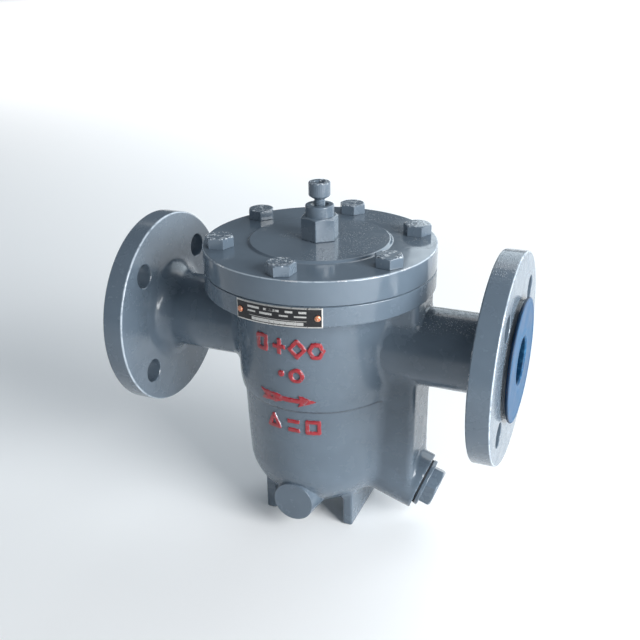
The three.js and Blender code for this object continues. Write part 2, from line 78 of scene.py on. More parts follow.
# The blended stub near the bowl, which lies a little under the turned one.
PIPE_ROOT = {"start": 40, "long": 52, "covered": 0.5}
BORE_R = 20
FLANGE = {"r": 75, "thick": 16.2, "face_r": 42, "face_high": 2.5, "circle_r": 55, "hole_r": 9}
FLANGE_FRONT = FACE_X - FLANGE["face_high"]
FLANGE_BACK = FLANGE_FRONT - FLANGE["thick"]
ARM_ROOT = 46
INLET_BORE_START = 45
BOLT_HOLE = {"body_r": 6.3, "cover_r": 6.75}

BOWL = {"upper_r": 61.3, "ring_r": 59.8, "lower_r": 58.2, "end_r": 55.9}
BOWL_Z = {"base": 11, "end_top": 56.3, "ring": 110.5, "shoulder": 125}
BOWL_STEP = {"below": 0.5, "tall": 1.6}
# How softly each part of the casting runs into the bowl.
BLEND = {"trunk": 6.0, "inlet": 9.0, "outlet": 4.5, "leg": 3.5, "boss": 2.0}
CHAMBER = {"upper_r": 53, "lower_r": 50, "end_r": 48.4, "base": 20.5}
GASKET_SEAT = {"r": 62.3, "deep": 1.2}

TRUNK = {"start_x": 20, "end_x": 79.8, "half_wide": 21.5, "corner": 4.5}
PASSAGE = {"x0": 59.5, "x1": 73, "half_wide": 13, "z0": 30}
SEAT_TILT = math.radians(19.6)
SEAT_AXIS_Z = 63.9
SEAT_BOSS = {"r": 22.4, "start": 30, "end": 87.8, "bore_r": 14.5}
SEAT_BORE = {"r": 9.5, "from": 40, "shoulder": 61}

LEG = {"x": 32.3, "thick": 7.6, "half_wide": 29.6, "top": 42}
RIB = {"y": 14, "half_long": 8, "half_thick": 2, "gap": 0.4, "rooted": 3}
BLIND_BOSS = {"x": -1.5, "z": 29.6, "face_y": -55.5, "face_r": 15.2, "root_y": -20, "root_r": 20}

SEAT_LINE = Vector((math.cos(SEAT_TILT), 0, -math.sin(SEAT_TILT)))
X = Vector((1, 0, 0))
Y = Vector((0, 1, 0))
Z = Vector((0, 0, 1))


def on_seat_axis(distance):
    return Vector((AXIS_X, 0, SEAT_AXIS_Z)) + SEAT_LINE * distance


# ---- mesh helpers

def new_object(name, vertices, faces):
    """A mesh object from millimetre vertices."""
    mesh = bpy.data.meshes.new(name)
    mesh.from_pydata([tuple(v) for v in np.asarray(vertices, float) * MM], [], faces)
    mesh.update()
    thing = bpy.data.objects.new(name, mesh)
    bpy.context.scene.collection.objects.link(thing)
    return thing


def rounded(points, segments=4):
    """An outline of (r, h) or (r, h, radius) points with its marked corners rounded."""
    outline = []
    for i, point in enumerate(points):
        radius = point[2] if len(point) > 2 else 0
        corner = np.array(point[:2], float)
        if radius == 0 or i in (0, len(points) - 1):
            outline.append(tuple(corner))
            continue
        before = np.array(points[i - 1][:2], float) - corner
        after = np.array(points[i + 1][:2], float) - corner
        before_long, after_long = np.linalg.norm(before), np.linalg.norm(after)
        before, after = before / before_long, after / after_long
        half = math.acos(np.clip(before @ after, -1, 1)) / 2
        run = min(radius / math.tan(half), 0.49 * before_long, 0.49 * after_long)
        radius = run * math.tan(half)
        middle = (before + after) / np.linalg.norm(before + after)
        centre = corner + middle * radius / math.sin(half)
        first = corner + before * run - centre
        last = corner + after * run - centre
        span = math.pi - 2 * half
        for step in range(segments + 1):
            t = step / segments
            arm = (math.sin((1 - t) * span) * first + math.sin(t * span) * last) / math.sin(span)
            outline.append(tuple(centre + arm))
    return outline


def lathe(name, outline, at, along=Z, segments=96, turn=0.0, ring=False):
    """A closed solid turned about a line. The outline runs from the axis at one end to the axis at the
    other, or for a ring it closes on itself."""
    rings, vertices, faces = [], [], []
    for r, h in outline:
        if r < 1e-6:
            rings.append([len(vertices)])
            vertices.append((0, 0, h))
            continue
        rings.append(list(range(len(vertices), len(vertices) + segments)))
        for k in range(segments):
            angle = turn + 2 * math.pi * k / segments
            vertices.append((r * math.cos(angle), r * math.sin(angle), h))
    after = rings[1:] + rings[:1] if ring else rings[1:]
    for low, high in zip(rings, after):
        for k in range(segments):
            n = (k + 1) % segments
            if len(low) == 1 and len(high) > 1:
                faces.append((low[0], high[n], high[k]))
            elif len(high) == 1 and len(low) > 1:
                faces.append((low[k], low[n], high[0]))
            elif len(low) > 1:
                faces.append((low[k], low[n], high[n], high[k]))
    turn_to = Z.rotation_difference(along).to_matrix()
    placed = [turn_to @ Vector(v) + Vector(at) for v in vertices]
    return face_out(new_object(name, placed, faces))


def rod(name, r, h0, h1, at, along=Z, segments=96, turn=0.0):
    """A plain cylinder, or a prism where the segments are few."""
    return lathe(name, [(0, h0), (r, h0), (r, h1), (0, h1)], at, along, segments, turn)


def face_out(thing):
    """Turns the faces of a closed mesh outwards."""
    mesh = thing.data
    mesh.calc_loop_triangles()
    points = np.array([v.co for v in mesh.vertices])
    corners = points[np.array([t.vertices for t in mesh.loop_triangles])]
    volume = np.einsum("ij,ij->i", corners[:, 0], np.cross(corners[:, 1], corners[:, 2])).sum()
    if volume < 0:
        mesh.flip_normals()
    return thing


def bake_modifiers(thing):
    """Applies an object's modifiers to its mesh."""
    graph = bpy.context.evaluated_depsgraph_get()
    mesh = bpy.data.meshes.new_from_object(thing.evaluated_get(graph), depsgraph=graph)
    thing.modifiers.clear()
    old = thing.data
    thing.data = mesh
    bpy.data.meshes.remove(old)
    return thing


def combine(thing, tools, operation):
    """Joins tools to a solid, or cuts them from it, and removes them."""
    for tool in tools:
        step = thing.modifiers.new("step", "BOOLEAN")
        step.object = tool
        step.operation = operation
        step.solver = "MANIFOLD"
        bake_modifiers(thing)
        bpy.data.objects.remove(tool)
    return thing


def box_solid(name, low, high):
    (x0, y0, z0), (x1, y1, z1) = low, high
    vertices = [(x, y, z) for z in (z0, z1) for x, y in ((x0, y0), (x1, y0), (x1, y1), (x0, y1))]
    faces = [(0, 3, 2, 1), (4, 5, 6, 7), (0, 1, 5, 4), (1, 2, 6, 5), (2, 3, 7, 6), (3, 0, 4, 7)]
    return new_object(name, vertices, faces)


def bevelled(thing, width):
    """A solid with its sharp edges rounded."""
    step = thing.modifiers.new("edge", "BEVEL")
    step.width = width * MM
    step.segments = 3
    step.limit_method = "ANGLE"
    step.angle_limit = math.radians(25)
    step.use_clamp_overlap = True
    return bake_modifiers(thing)


def grid_faces(rows, columns):
    """Quads of a grid of vertices, and the vertices round its border in order."""
    index = np.arange(rows * columns).reshape(rows, columns)
    quads = np.stack([index[:-1, :-1], index[1:, :-1], index[1:, 1:], index[:-1, 1:]], -1).reshape(-1, 4)
    return quads, [*index[:, 0], *index[-1, 1:], *index[-2::-1, -1], *index[0, -2:0:-1]]


def round_wall(r, angle, z):
    """Points about the bowl's axis, one a row."""
    return np.stack([AXIS_X + r * np.cos(angle), r * np.sin(angle), z], -1).reshape(-1, 3)


def finish_piece(thing, body, material, replaced=(), sharp=35):
    """Smooth shading, finish, body and slot of a finished piece."""
    mesh = thing.data
    mesh.materials.clear()
    mesh.materials.append(material)
    mesh.shade_smooth()
    mesh.set_sharp_from_angle(angle=math.radians(sharp))
    weighted = thing.modifiers.new("normals", "WEIGHTED_NORMAL")
    weighted.keep_sharp = True
    weighted.mode = "FACE_AREA_WITH_ANGLE"
    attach(thing, body)
    if replaced:
        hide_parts(*replaced)
    return thing


# ---- blended solids from distances

def smooth(t):
    """Eases a value that runs from 0 to 1."""
    return t * t * (3 - 2 * t)


def soft_min(a, b, k):
    """The lower of two distances, with a fillet of about k where they meet."""
    h = np.maximum(k - np.abs(a - b), 0) / k
    return np.minimum(a, b) - h * h * k / 4


def soft_max(a, b, k):
    return -soft_min(-a, -b, k)


def value_noise(p, cell, seed):
    """Smooth noise from -1 to 1 over points, with features of about cell millimetres."""
    q = p / cell
    base = np.floor(q).astype(np.int64)
    f = smooth(q - base)
    total = 0
    for dx in (0, 1):
        for dy in (0, 1):
            for dz in (0, 1):
                n = (base[..., 0] + dx) * 73856093 ^ (base[..., 1] + dy) * 19349663
                n = n ^ (base[..., 2] + dz) * 83492791 ^ seed * 2654435761
                n = (n ^ (n >> 13)) * 1274126177
                n = (n ^ (n >> 16)) & 0xFFFF
                weight = np.where(dx, f[..., 0], 1 - f[..., 0])
                weight = weight * np.where(dy, f[..., 1], 1 - f[..., 1])
                weight = weight * np.where(dz, f[..., 2], 1 - f[..., 2])
                total = total + weight * (n / 32767.5 - 1)
    return total


def surface_points(field):
    """For the grid cells that the surface crosses: a point in each, in cells, and the cells' numbers."""
    inside = field < 0
    corner = [(i, j, k) for i in (0, 1) for j in (0, 1) for k in (0, 1)]
    shape = [n - 1 for n in field.shape]
    hits = sum(inside[i:i + shape[0], j:j + shape[1], k:k + shape[2]].astype(np.int8) for i, j, k in corner)
    cells = np.argwhere((hits > 0) & (hits < 8))
    number = np.full(shape, -1, np.int64)
    number[tuple(cells.T)] = np.arange(len(cells))
    total, count = np.zeros((len(cells), 3)), np.zeros(len(cells))
    for a in corner:
        for axis in range(3):
            if a[axis]:
                continue
            b = tuple(v + (i == axis) for i, v in enumerate(a))
            fa = field[tuple((cells + a).T)]
            fb = field[tuple((cells + b).T)]
            crossing = (fa < 0) != (fb < 0)
            t = np.where(crossing, fa / np.where(crossing, fa - fb, 1), 0)
            point = cells + np.array(a, float)
            point[:, axis] += t
            total += point * crossing[:, None]
            count += crossing
    return total / count[:, None], number


def surface_quads(inside, number):
    """A quad, facing out, for each grid edge that the surface crosses."""
    quads = []
    along = np.eye(3, dtype=int)
    for axis in range(3):
        u, v = (axis + 1) % 3, (axis + 2) % 3
        size = list(inside.shape)
        size[axis] -= 1
        first = inside[tuple(slice(0, s) for s in size)]
        second = np.roll(inside, -1, axis)[tuple(slice(0, s) for s in size)]
        edges = np.argwhere(first != second)
        edges = edges[(edges[:, u] > 0) & (edges[:, v] > 0)]
        edges = edges[(edges[:, u] < number.shape[u]) & (edges[:, v] < number.shape[v])]
        around = [edges - along[u] - along[v], edges - along[v], edges, edges - along[u]]
        quad = np.stack([number[tuple(c.T)] for c in around], 1)
        leaving = inside[tuple(edges.T)]
        quads.append(np.where(leaving[:, None], quad, quad[:, ::-1]))
    return np.concatenate(quads)


def settle(vertices, distance, most):
    """Moves vertices onto the surface, by no more than most at a time."""
    step = 0.05
    for _ in range(3):
        slope = np.stack(
            [(distance(vertices + step * e) - distance(vertices - step * e)) / (2 * step)
             for e in np.eye(3)], 1)
        steep = np.maximum((slope ** 2).sum(1), 0.25)
        move = slope * (distance(vertices) / steep)[:, None]
        vertices -= np.clip(move, -most, most)


def surface_mesh(distance, low, high, cell):
    """Vertices and quads of the surface where distance(points) is zero."""
    axes = [np.arange(low[i], high[i] + cell, cell) for i in range(3)]
    grid = np.stack(np.meshgrid(*axes, indexing="ij"), -1)
    field = np.concatenate([distance(slab) for slab in np.array_split(grid, 24)])
    points, number = surface_points(field)
    vertices = np.array(low, float) + points * cell
    settle(vertices, distance, 0.6 * cell)
    return vertices, surface_quads(field < 0, number)


def round_box_distance(p, centre, half, radius):
    q = np.abs(p - np.array(centre, float)) - (np.array(half, float) - radius)
    outside = np.sqrt((np.maximum(q, 0) ** 2).sum(-1))
    return outside + np.minimum(q.max(-1), 0) - radius


def rod_distance(p, start, direction, r, long, edge):
    """Distance to a rod with rounded rims; r is one radius or the radii at its two ends."""
    d = np.array(direction, float)
    q = p - np.array(start, float)
    h = q @ d
    side = np.sqrt(np.maximum((q ** 2).sum(-1) - h * h, 0))
    r0, r1 = r if isinstance(r, tuple) else (r, r)
    slope = (r1 - r0) / long
    wall = (side - r0 - slope * h) / math.sqrt(1 + slope * slope) + edge
    cap = np.abs(h - long / 2) - long / 2 + edge
    outside = np.sqrt(np.maximum(wall, 0) ** 2 + np.maximum(cap, 0) ** 2)
    return outside + np.minimum(np.maximum(wall, cap), 0) - edge


def bowl_distance(p):
    """The turned bowl under the body flange."""
    x, y, z = p[..., 0] - AXIS_X, p[..., 1], p[..., 2]
    r = np.sqrt(x * x + y * y)
    end_top, ring, shoulder = BOWL_Z["end_top"], BOWL_Z["ring"], BOWL_Z["shoulder"]
    taper = BOWL["end_r"] + (BOWL["lower_r"] - BOWL["end_r"]) * (z - end_top) / (ring - end_top)
    curl = BOWL["upper_r"] - (BOWL["upper_r"] - BOWL["ring_r"]) * (
        np.clip((shoulder - z) / (shoulder - ring), 0, 1) ** 2)
    step = smooth(np.clip((z - ring + BOWL_STEP["below"]) / BOWL_STEP["tall"], 0, 1))
    wall = r - (taper + (curl - taper) * step)
    a, c = BOWL["end_r"], end_top - BOWL_Z["base"]
    k0 = np.sqrt((r / a) ** 2 + ((z - end_top) / c) ** 2)
    k1 = np.sqrt((r / a ** 2) ** 2 + ((z - end_top) / c ** 2) ** 2)
    end = k0 * (k0 - 1) / np.maximum(k1, 1e-9)
    return np.where(z > end_top, wall, end)


def trunk_distance(p):
    """The square trunk with its round, slanted lower end and machined boss."""
    t = TRUNK
    middle = AXIS_X + (t["start_x"] + t["end_x"]) / 2
    half = [(t["end_x"] - t["start_x"]) / 2, t["half_wide"], 200]
    upright = round_box_distance(p, (middle, 0, 100), half, t["corner"])
    above = (SEAT_AXIS_Z - p[..., 2]) * math.cos(SEAT_TILT)
    above = above - (p[..., 0] - AXIS_X) * math.sin(SEAT_TILT)
    upright = soft_max(upright, above, 1.0)
    b = SEAT_BOSS
    start = on_seat_axis(b["start"])
    boss = rod_distance(p, start, SEAT_LINE, b["r"], b["end"] - b["start"], 1.0)
    return soft_min(upright, boss, 3.0)


# Rough beads left on the casting where the outlet pipe meets the bowl: place and reach.
BEADS = [(54, -27, 156, 2.4), (50, -33, 147, 1.8), (80, -8, 178, 2.2)]


def casting_distance(p):
    """Bowl, trunk, pipe roots, feet and blind boss, blended as a casting is."""
    whole = soft_min(bowl_distance(p), trunk_distance(p), BLEND["trunk"])
    for side, blend in ((-1, BLEND["inlet"]), (1, BLEND["outlet"])):
        start = (AXIS_X + side * PIPE_ROOT["start"], 0, PIPE_Z)
        pipe = rod_distance(p, start, (side, 0, 0), PIPE_R - PIPE_ROOT["covered"], PIPE_ROOT["long"], 1.0)
        whole = soft_min(whole, pipe, blend)
    for side in (-1, 1):
        centre = (AXIS_X + side * LEG["x"], 0, LEG["top"] / 2)
        half = (LEG["thick"] / 2, LEG["half_wide"], LEG["top"] / 2)
        whole = soft_min(whole, round_box_distance(p, centre, half, 1.1), BLEND["leg"])
    b = BLIND_BOSS
    start = (AXIS_X + b["x"], b["root_y"], b["z"])
    long = b["root_y"] - b["face_y"] - 3
    boss = rod_distance(p, start, (0, -1, 0), (b["root_r"] - 0.2, b["face_r"] - 0.2), long, 0.9)
    whole = soft_min(whole, boss, BLEND["boss"])
    whole = np.maximum(whole, p[..., 2] - (RIM_LOW + 4))
    wander = 0.16 * value_noise(p, 19.0, 3) + 0.06 * value_noise(p, 7.0, 5)
    for x, y, z, reach in BEADS:
        gap = (p[..., 0] - x) ** 2 + (p[..., 1] - y) ** 2 + (p[..., 2] - z) ** 2
        wander = wander + np.exp(-gap / reach ** 2) * (0.5 + 1.3 * value_noise(p, 2.6, 9))
    return whole - wander * np.clip(p[..., 2] / 12, 0, 1)


# ---- node material helper

class Finish:
    """A procedural material under construction; its places and lengths are in metres."""

    def __init__(self, name):
        self.material = bpy.data.materials.new(name)
        self.material.use_nodes = True
        self.tree = self.material.node_tree
        self.shader = self.tree.nodes["Principled BSDF"]
        self.place = self.node("ShaderNodeTexCoord").outputs["Object"]
        split = self.node("ShaderNodeSeparateXYZ", {"Vector": self.place})
        self.x, self.y, self.z = split.outputs

    def feed(self, socket, value):
        """Links a socket to another one's output, or sets its value; a colour gets its alpha."""
        if isinstance(value, bpy.types.NodeSocket):
            self.tree.links.new(value, socket)
        else:
            socket.default_value = (*value, 1) if socket.type == "RGBA" else value

    def node(self, kind, inputs=None, **settings):
        node = self.tree.nodes.new(kind)
        for key, value in settings.items():
            setattr(node, key, value)
        for key, value in (inputs or {}).items():
            self.feed(node.inputs[key], value)
        return node

    def math(self, operation, *values):
        return self.node("ShaderNodeMath", dict(enumerate(values)), operation=operation).outputs[0]

    def vector(self, operation, output, *values):
        inputs = dict(enumerate(values))
        return self.node("ShaderNodeVectorMath", inputs, operation=operation).outputs[output]

    def plus(self, a, b):
        return self.math("ADD", a, b)

    def minus(self, a, b):
        return self.math("SUBTRACT", a, b)

    def times(self, first, *others):
        for other in others:
            first = self.math("MULTIPLY", first, other)
        return first

    def highest(self, first, *others):
        for other in others:
            first = self.math("MAXIMUM", first, other)
        return first

    def hypot(self, a, b):
        return self.math("SQRT", self.math("MULTIPLY_ADD", a, a, self.times(b, b)))

    def noise(self, size_mm, detail, rough, distortion=0.0):
        """Noise from about 0.25 to 0.75 with features of that size."""
        inputs = {"Vector": self.place, "Scale": 1 / (size_mm * MM), "Detail": detail}
        inputs |= {"Roughness": rough, "Distortion": distortion}
        return self.node("ShaderNodeTexNoise", inputs).outputs["Fac"]

    def band(self, value, low, high, to_low=0.0, to_high=1.0):
        """Smooth step of value from low to high."""
        inputs = {"Value": value, "From Min": low, "From Max": high, "To Min": to_low, "To Max": to_high}
        return self.node("ShaderNodeMapRange", inputs, interpolation_type="SMOOTHSTEP").outputs[0]

    def span(self, length, low, high, to_low=0.0, to_high=1.0):
        """Smooth step of a length from low to high, both in millimetres."""
        return self.band(length, low * MM, high * MM, to_low, to_high)

    def blend(self, factor, a, b):
        return self.node("ShaderNodeMix", {0: factor, 6: a, 7: b}, data_type="RGBA").outputs[2]

    def from_axis(self, x=AXIS_X, y=0.0):
        """Distance from an upright line, which is the bowl's axis unless told otherwise."""
        return self.hypot(self.minus(self.x, x * MM), self.minus(self.y, y * MM))

    def from_pipe(self):
        """Distance from the pipe's axis."""
        return self.hypot(self.y, self.minus(self.z, PIPE_Z * MM))

    def about(self, point, direction):
        """Distance along a line from a point, and distance from that line."""
        away = self.vector("SUBTRACT", "Vector", self.place, tuple(Vector(point) * MM))
        height = self.vector("DOT_PRODUCT", "Value", away, tuple(direction))
        long = self.vector("LENGTH", "Value", away)
        across = self.minus(self.times(long, long), self.times(height, height))
        return height, self.math("SQRT", self.highest(across, 0.0))

    def near_ring(self, radius, r, height, h, reach):
        """One on a ring of radius r at height h, falling to zero within reach."""
        return self.span(self.hypot(self.minus(radius, r * MM), self.minus(height, h * MM)), reach, 0)

    def bump(self, height, strength, distance_mm, under=None):
        inputs = {"Height": height, "Strength": strength, "Distance": distance_mm * MM}
        if under:
            inputs["Normal"] = under
        return self.node("ShaderNodeBump", inputs).outputs["Normal"]

    def put(self, **values):
        """Sets inputs of the shader; an underscore stands for a space."""
        for key, value in values.items():
            self.feed(self.shader.inputs[key.replace("_", " ")], value)


# ---- finishes

PAINT_TONE = (0.114, 0.149, 0.188)
PAINT_DARK = (0.102, 0.134, 0.170)
PAINT_PALE = (0.142, 0.181, 0.225)
BARE_METAL = (0.60, 0.62, 0.65)
# Pale tone of painted highlights: the lines along edges and the glints on beads of dried paint.
HIGHLIGHT_TONE = (0.46, 0.52, 0.58)
# Near-black of painted shade: the line under the bowl's step and the caps' shadow on the flanges.
PAINTED_SHADE_TONE = (0.030, 0.034, 0.040)
FLECK_PALE = (0.62, 0.67, 0.72)
FLECK_DARK = (0.030, 0.034, 0.042)


def gritty(f, where, tone, normal):
    """Tone and normal with beads of dried paint; the beads are painted pale as glints."""
    inputs = {"Vector": f.place, "Scale": 1 / (1.25 * MM)}
    cells = f.node("ShaderNodeTexVoronoi", inputs).outputs["Distance"]
    beads = f.times(f.band(cells, 0.42, 0.16), f.band(f.noise(1.9, 3, 0.7), 0.42, 0.50), where)
    return f.blend(f.times(beads, 0.85), tone, HIGHLIGHT_TONE), f.bump(beads, 1.0, 0.6, normal)


def flecked(f, where, tone, normal):
    """Tone and normal of tops with paint wear, speckled pale and dark."""
    pale = f.times(f.band(f.noise(2.8, 4, 0.7, 0.8), 0.52, 0.57), where)
    dark = f.times(f.band(f.noise(2.3, 4, 0.7, 0.8), 0.41, 0.37), where)
    tone = f.blend(f.times(pale, 0.9), tone, FLECK_PALE)
    tone = f.blend(f.times(dark, 0.8), tone, FLECK_DARK)
    return tone, f.bump(f.minus(pale, dark), 0.7, 0.2, normal)


def chipped(f, near):
    """Where enamel is knocked off, in patches near edges."""
    patchy = f.band(f.noise(11, 2, 0.5), 0.50, 0.60)
    return f.band(f.times(near, patchy, f.noise(2.2, 4, 0.65)), 0.36, 0.40)


def paint(name, chips=(), grit=None, flecks=None, wear_and_highlight=None, painted_shade=(), cast=1.0, peel=1.0,
          gloss=0.24, coat=0.22):
    """Blue-grey enamel. Each mask is a function: chips, knocked off; grit, dried rough, its beads painted
    pale as glints;
    flecks, tops with paint wear; wear_and_highlight, painted highlight lines along edges; painted_shade,
    painted shade in corners and under a step. cast and peel say how wavy and how pitted the surface is."""
    f = Finish(name)
    fine = f.noise(5.5, 3, 0.6)
    tone = f.blend(f.band(f.noise(42, 3, 0.55), 0.36, 0.66), PAINT_DARK, PAINT_TONE)
    tone = f.blend(f.band(fine, 0.52, 0.85, 0, 0.07), tone, PAINT_PALE)
    if wear_and_highlight:
        # Painted highlight: pale lines along the masked edges, broken up by noise.
        highlight_line = f.times(wear_and_highlight(f), f.band(f.noise(7, 3, 0.6), 0.34, 0.52, 0.4, 0.95))
        tone = f.blend(highlight_line, tone, HIGHLIGHT_TONE)
    # Painted shade: the masked places are darkened towards near-black.
    for mask in painted_shade:
        tone = f.blend(mask(f), tone, PAINTED_SHADE_TONE)
    normal = f.bump(f.noise(11.0, 2, 0.5), 0.10 * cast, 0.8)
    normal = f.bump(f.noise(2.4, 2, 0.5), 0.14 * peel, 0.12, normal)
    normal = f.bump(f.noise(0.6, 2, 0.6), 0.06 * peel, 0.05, normal)
    rough = f.plus(f.band(f.noise(14, 3, 0.6), 0.3, 0.7, gloss - 0.05, gloss + 0.06),
                   f.band(fine, 0.55, 0.8, 0, 0.06))
    if grit:
        tone, normal = gritty(f, grit(f), tone, normal)
    if flecks:
        tone, normal = flecked(f, flecks(f), tone, normal)
    if chips:
        gone = chipped(f, f.highest(*[mask(f) for mask in chips]))
        tone = f.blend(gone, tone, BARE_METAL)
        normal = f.bump(gone, -0.5, 0.15, normal)
        rough = f.plus(rough, f.times(gone, 0.15))
        f.put(Metallic=f.times(gone, 0.5))
    f.put(Base_Color=tone, Roughness=rough, Normal=normal)
    f.put(Specular_IOR_Level=0.42, Coat_Weight=coat, Coat_Roughness=0.06, Coat_IOR=1.5)
    return f.material


def rim_edges(f):
    """The upper rim of the cover, where chips come off."""
    return f.near_ring(f.from_axis(), COVER_R - 0.4, f.z, COVER_TOP - 0.4, 1.3)


def cover_highlight_line(f):
    """The upper rim of the cover, where a painted highlight line runs."""
    return f.near_ring(f.from_axis(), COVER_R - 0.3, f.z, COVER_TOP - 0.3, 0.9)


def body_flange_edge(f):
    """Both rims of the body flange."""
    r = f.from_axis()
    upper = f.near_ring(r, COVER_R, f.z, RIM_TOP, 1.1)
    return f.highest(upper, f.near_ring(r, COVER_R, f.z, RIM_LOW + 0.4, 1.2))


def pipe_flange_edges(f):
    """The rims of the pipe flanges that show from the front."""
    r = f.from_pipe()
    places = (-FLANGE_FRONT, FLANGE_BACK, FLANGE_FRONT)
    return f.highest(*[f.near_ring(r, FLANGE["r"] - 0.3, f.x, x, 1.4) for x in places])


def flange_highlight_lines(f):
    """The flange edges that face the viewer of either end, where painted highlight lines run."""
    r = f.from_pipe()
    inlet = f.near_ring(r, FLANGE["r"] - 0.5, f.x, -FLANGE_BACK - 0.5, 1.2)
    return f.highest(inlet, f.near_ring(r, FLANGE["r"] - 0.4, f.x, FLANGE_FRONT - 0.4, 0.9))


def plug_boss_edge(f):
    height, r = f.about(on_seat_axis(0), SEAT_LINE)
    return f.near_ring(r, SEAT_BOSS["r"], height, SEAT_BOSS["end"], 1.6)


def bowl_step_shade(f):
    """Painted shade: a dark line under the step round the bowl."""
    height = f.math("ABSOLUTE", f.minus(f.z, (BOWL_Z["ring"] - 0.4) * MM))
    return f.times(f.span(height, 1.3, 0.2, 0, 0.5), f.span(f.from_axis(), 61.2, 60.6))


def cap_shadow(f):
    """Painted shadow of each cap, in the corner round its raised face."""
    r = f.from_pipe()
    out = f.minus(f.math("ABSOLUTE", f.x), (FLANGE_FRONT - 0.4) * MM)
    return f.times(f.span(r, 46.2, 43.2), f.span(r, 41.0, 41.6), f.span(out, 0, 0.3, 0, 0.8))


def cover_grit(f):
    """Rough dried paint on the outlet side of the raised middle, by the vent and near the rim behind."""
    patch = f.band(f.noise(20, 2, 0.5), 0.38, 0.50)
    r = f.from_axis()
    middle = f.span(r, 50, 46)
    rim = f.times(f.span(r, 56, 62), f.span(f.y, 0, 20))
    outlet_side = f.times(f.highest(middle, rim), f.span(f.x, -4, 10), patch)
    by_vent = f.span(f.from_axis(AXIS_X - 22, -2), 10, 4, 0, 0.8)
    return f.times(f.highest(outlet_side, by_vent), f.span(f.z, COVER_TOP - 1, COVER_TOP))


def pipe_grit(f):
    """Rough dried paint along the top of the outlet pipe and of its flange."""
    on_pipe = f.times(f.span(f.from_pipe(), 33, 30), f.span(f.z, PIPE_Z + 17, PIPE_Z + 25))
    on_rim = f.span(f.z, PIPE_Z + 66, PIPE_Z + 73)
    return f.times(f.highest(on_pipe, on_rim), f.span(f.x, 58, 66))


def head_tops(f):
    """The tops of the cover bolts, in patches."""
    top = node_box("cover_bolt_1")[1][2]
    return f.times(f.span(f.z, top - 1.1, top - 0.3), f.band(f.noise(6, 2, 0.5), 0.36, 0.52))


def screw_top(f):
    """The top of the vent screw."""
    top = node_box("vent_screw")[1][2]
    return f.span(f.z, top - 1.2, top - 0.4)


def steel(name):
    f = Finish(name)
    clouds = f.noise(12, 3, 0.5)
    tint = (0.60, 0.61, 0.62)
    f.put(Base_Color=f.blend(clouds, tint, tuple(0.82 * v for v in tint)), Metallic=1.0)
    f.put(Roughness=f.band(clouds, 0.3, 0.7, 0.28, 0.43), Normal=f.bump(f.noise(0.7, 3, 0.6), 0.15, 0.05))
    return f.material


def graphite(name):
    f = Finish(name)
    fibre = f.noise(0.8, 4, 0.7)
    f.put(Base_Color=f.blend(fibre, (0.02, 0.021, 0.023), (0.07, 0.07, 0.075)), Roughness=0.75)
    f.put(Normal=f.bump(fibre, 0.4, 0.1))
    return f.material


def copper(name):
    f = Finish(name)
    clouds = f.noise(4, 3, 0.6)
    f.put(Base_Color=f.blend(clouds, (0.55, 0.27, 0.15), (0.36, 0.17, 0.10)), Metallic=1.0, Roughness=0.4)
    f.put(Normal=f.bump(clouds, 0.1, 0.05))
    return f.material


def blue_plastic(name):
    """Moulded polyethylene: satin, slightly cloudy, scuffed near the middle; painted shade makes the cup deep
    blue-black and darkens the side rim.
    """
    f = Finish(name)
    clouds = f.noise(16, 3, 0.5)
    tone = f.blend(f.band(clouds, 0.35, 0.65), (0.004, 0.050, 0.130), (0.007, 0.072, 0.165))
    r = f.from_pipe()
    scuff = f.times(f.span(r, 30, 19), f.band(f.noise(2.2, 5, 0.7), 0.52, 0.62))
    tone = f.blend(f.times(scuff, 0.45), tone, (0.05, 0.20, 0.36))
    # Painted shade: the cup is darkened to blue-black.
    cup_shade = f.span(r, 17.2, 16.0)
    tone = f.blend(cup_shade, tone, (0.001, 0.003, 0.013))
    # Painted shade: the side rim is darkened towards navy-black.
    tone = f.blend(f.span(r, 43.2, 43.8), tone, (0.004, 0.020, 0.050))
    normal = f.bump(f.noise(6, 3, 0.5), 0.12, 0.5)
    normal = f.bump(f.plus(f.noise(0.8, 3, 0.6), f.times(scuff, 0.8)), 0.18, 0.08, normal)
    f.put(Base_Color=tone, Normal=normal, Subsurface_Weight=0.05)
    # The cup reflects less, to go with its painted shade.
    f.put(Specular_IOR_Level=f.minus(0.26, f.times(cup_shade, 0.22)))
    f.put(Roughness=f.plus(f.band(clouds, 0.3, 0.7, 0.36, 0.46), f.times(scuff, 0.2)))
    return f.material


def mark_paint(name):
    """Red on the raised faces, wiped by hand, over the body enamel; lift is stored on the mesh."""
    f = Finish(name)
    lift = f.node("ShaderNodeAttribute", attribute_name="lift").outputs["Fac"]
    ragged = f.times(f.minus(f.noise(1.6, 3, 0.6), 0.5), 0.9)
    bare = f.band(f.noise(2.6, 4, 0.65), 0.60, 0.66)
    red = f.times(f.band(f.plus(lift, ragged), 0.52, 0.62), f.minus(1.0, f.times(bare, 0.55)))
    shade = f.blend(f.noise(3.5, 3, 0.5), (0.36, 0.010, 0.020), (0.24, 0.007, 0.014))
    # Painted highlight: the enamel under the red turns paler up the raised sides of the mark.
    under = f.blend(f.band(lift, 0.2, 0.9), PAINT_TONE, (0.24, 0.28, 0.325))
    f.put(Base_Color=f.blend(red, under, shade), Roughness=f.plus(f.times(red, 0.14), 0.22))
    f.put(Normal=f.bump(f.noise(1.0, 3, 0.6), 0.4, 0.18))
    f.put(Specular_IOR_Level=0.6, Coat_Weight=0.3, Coat_Roughness=0.1)
    return f.material


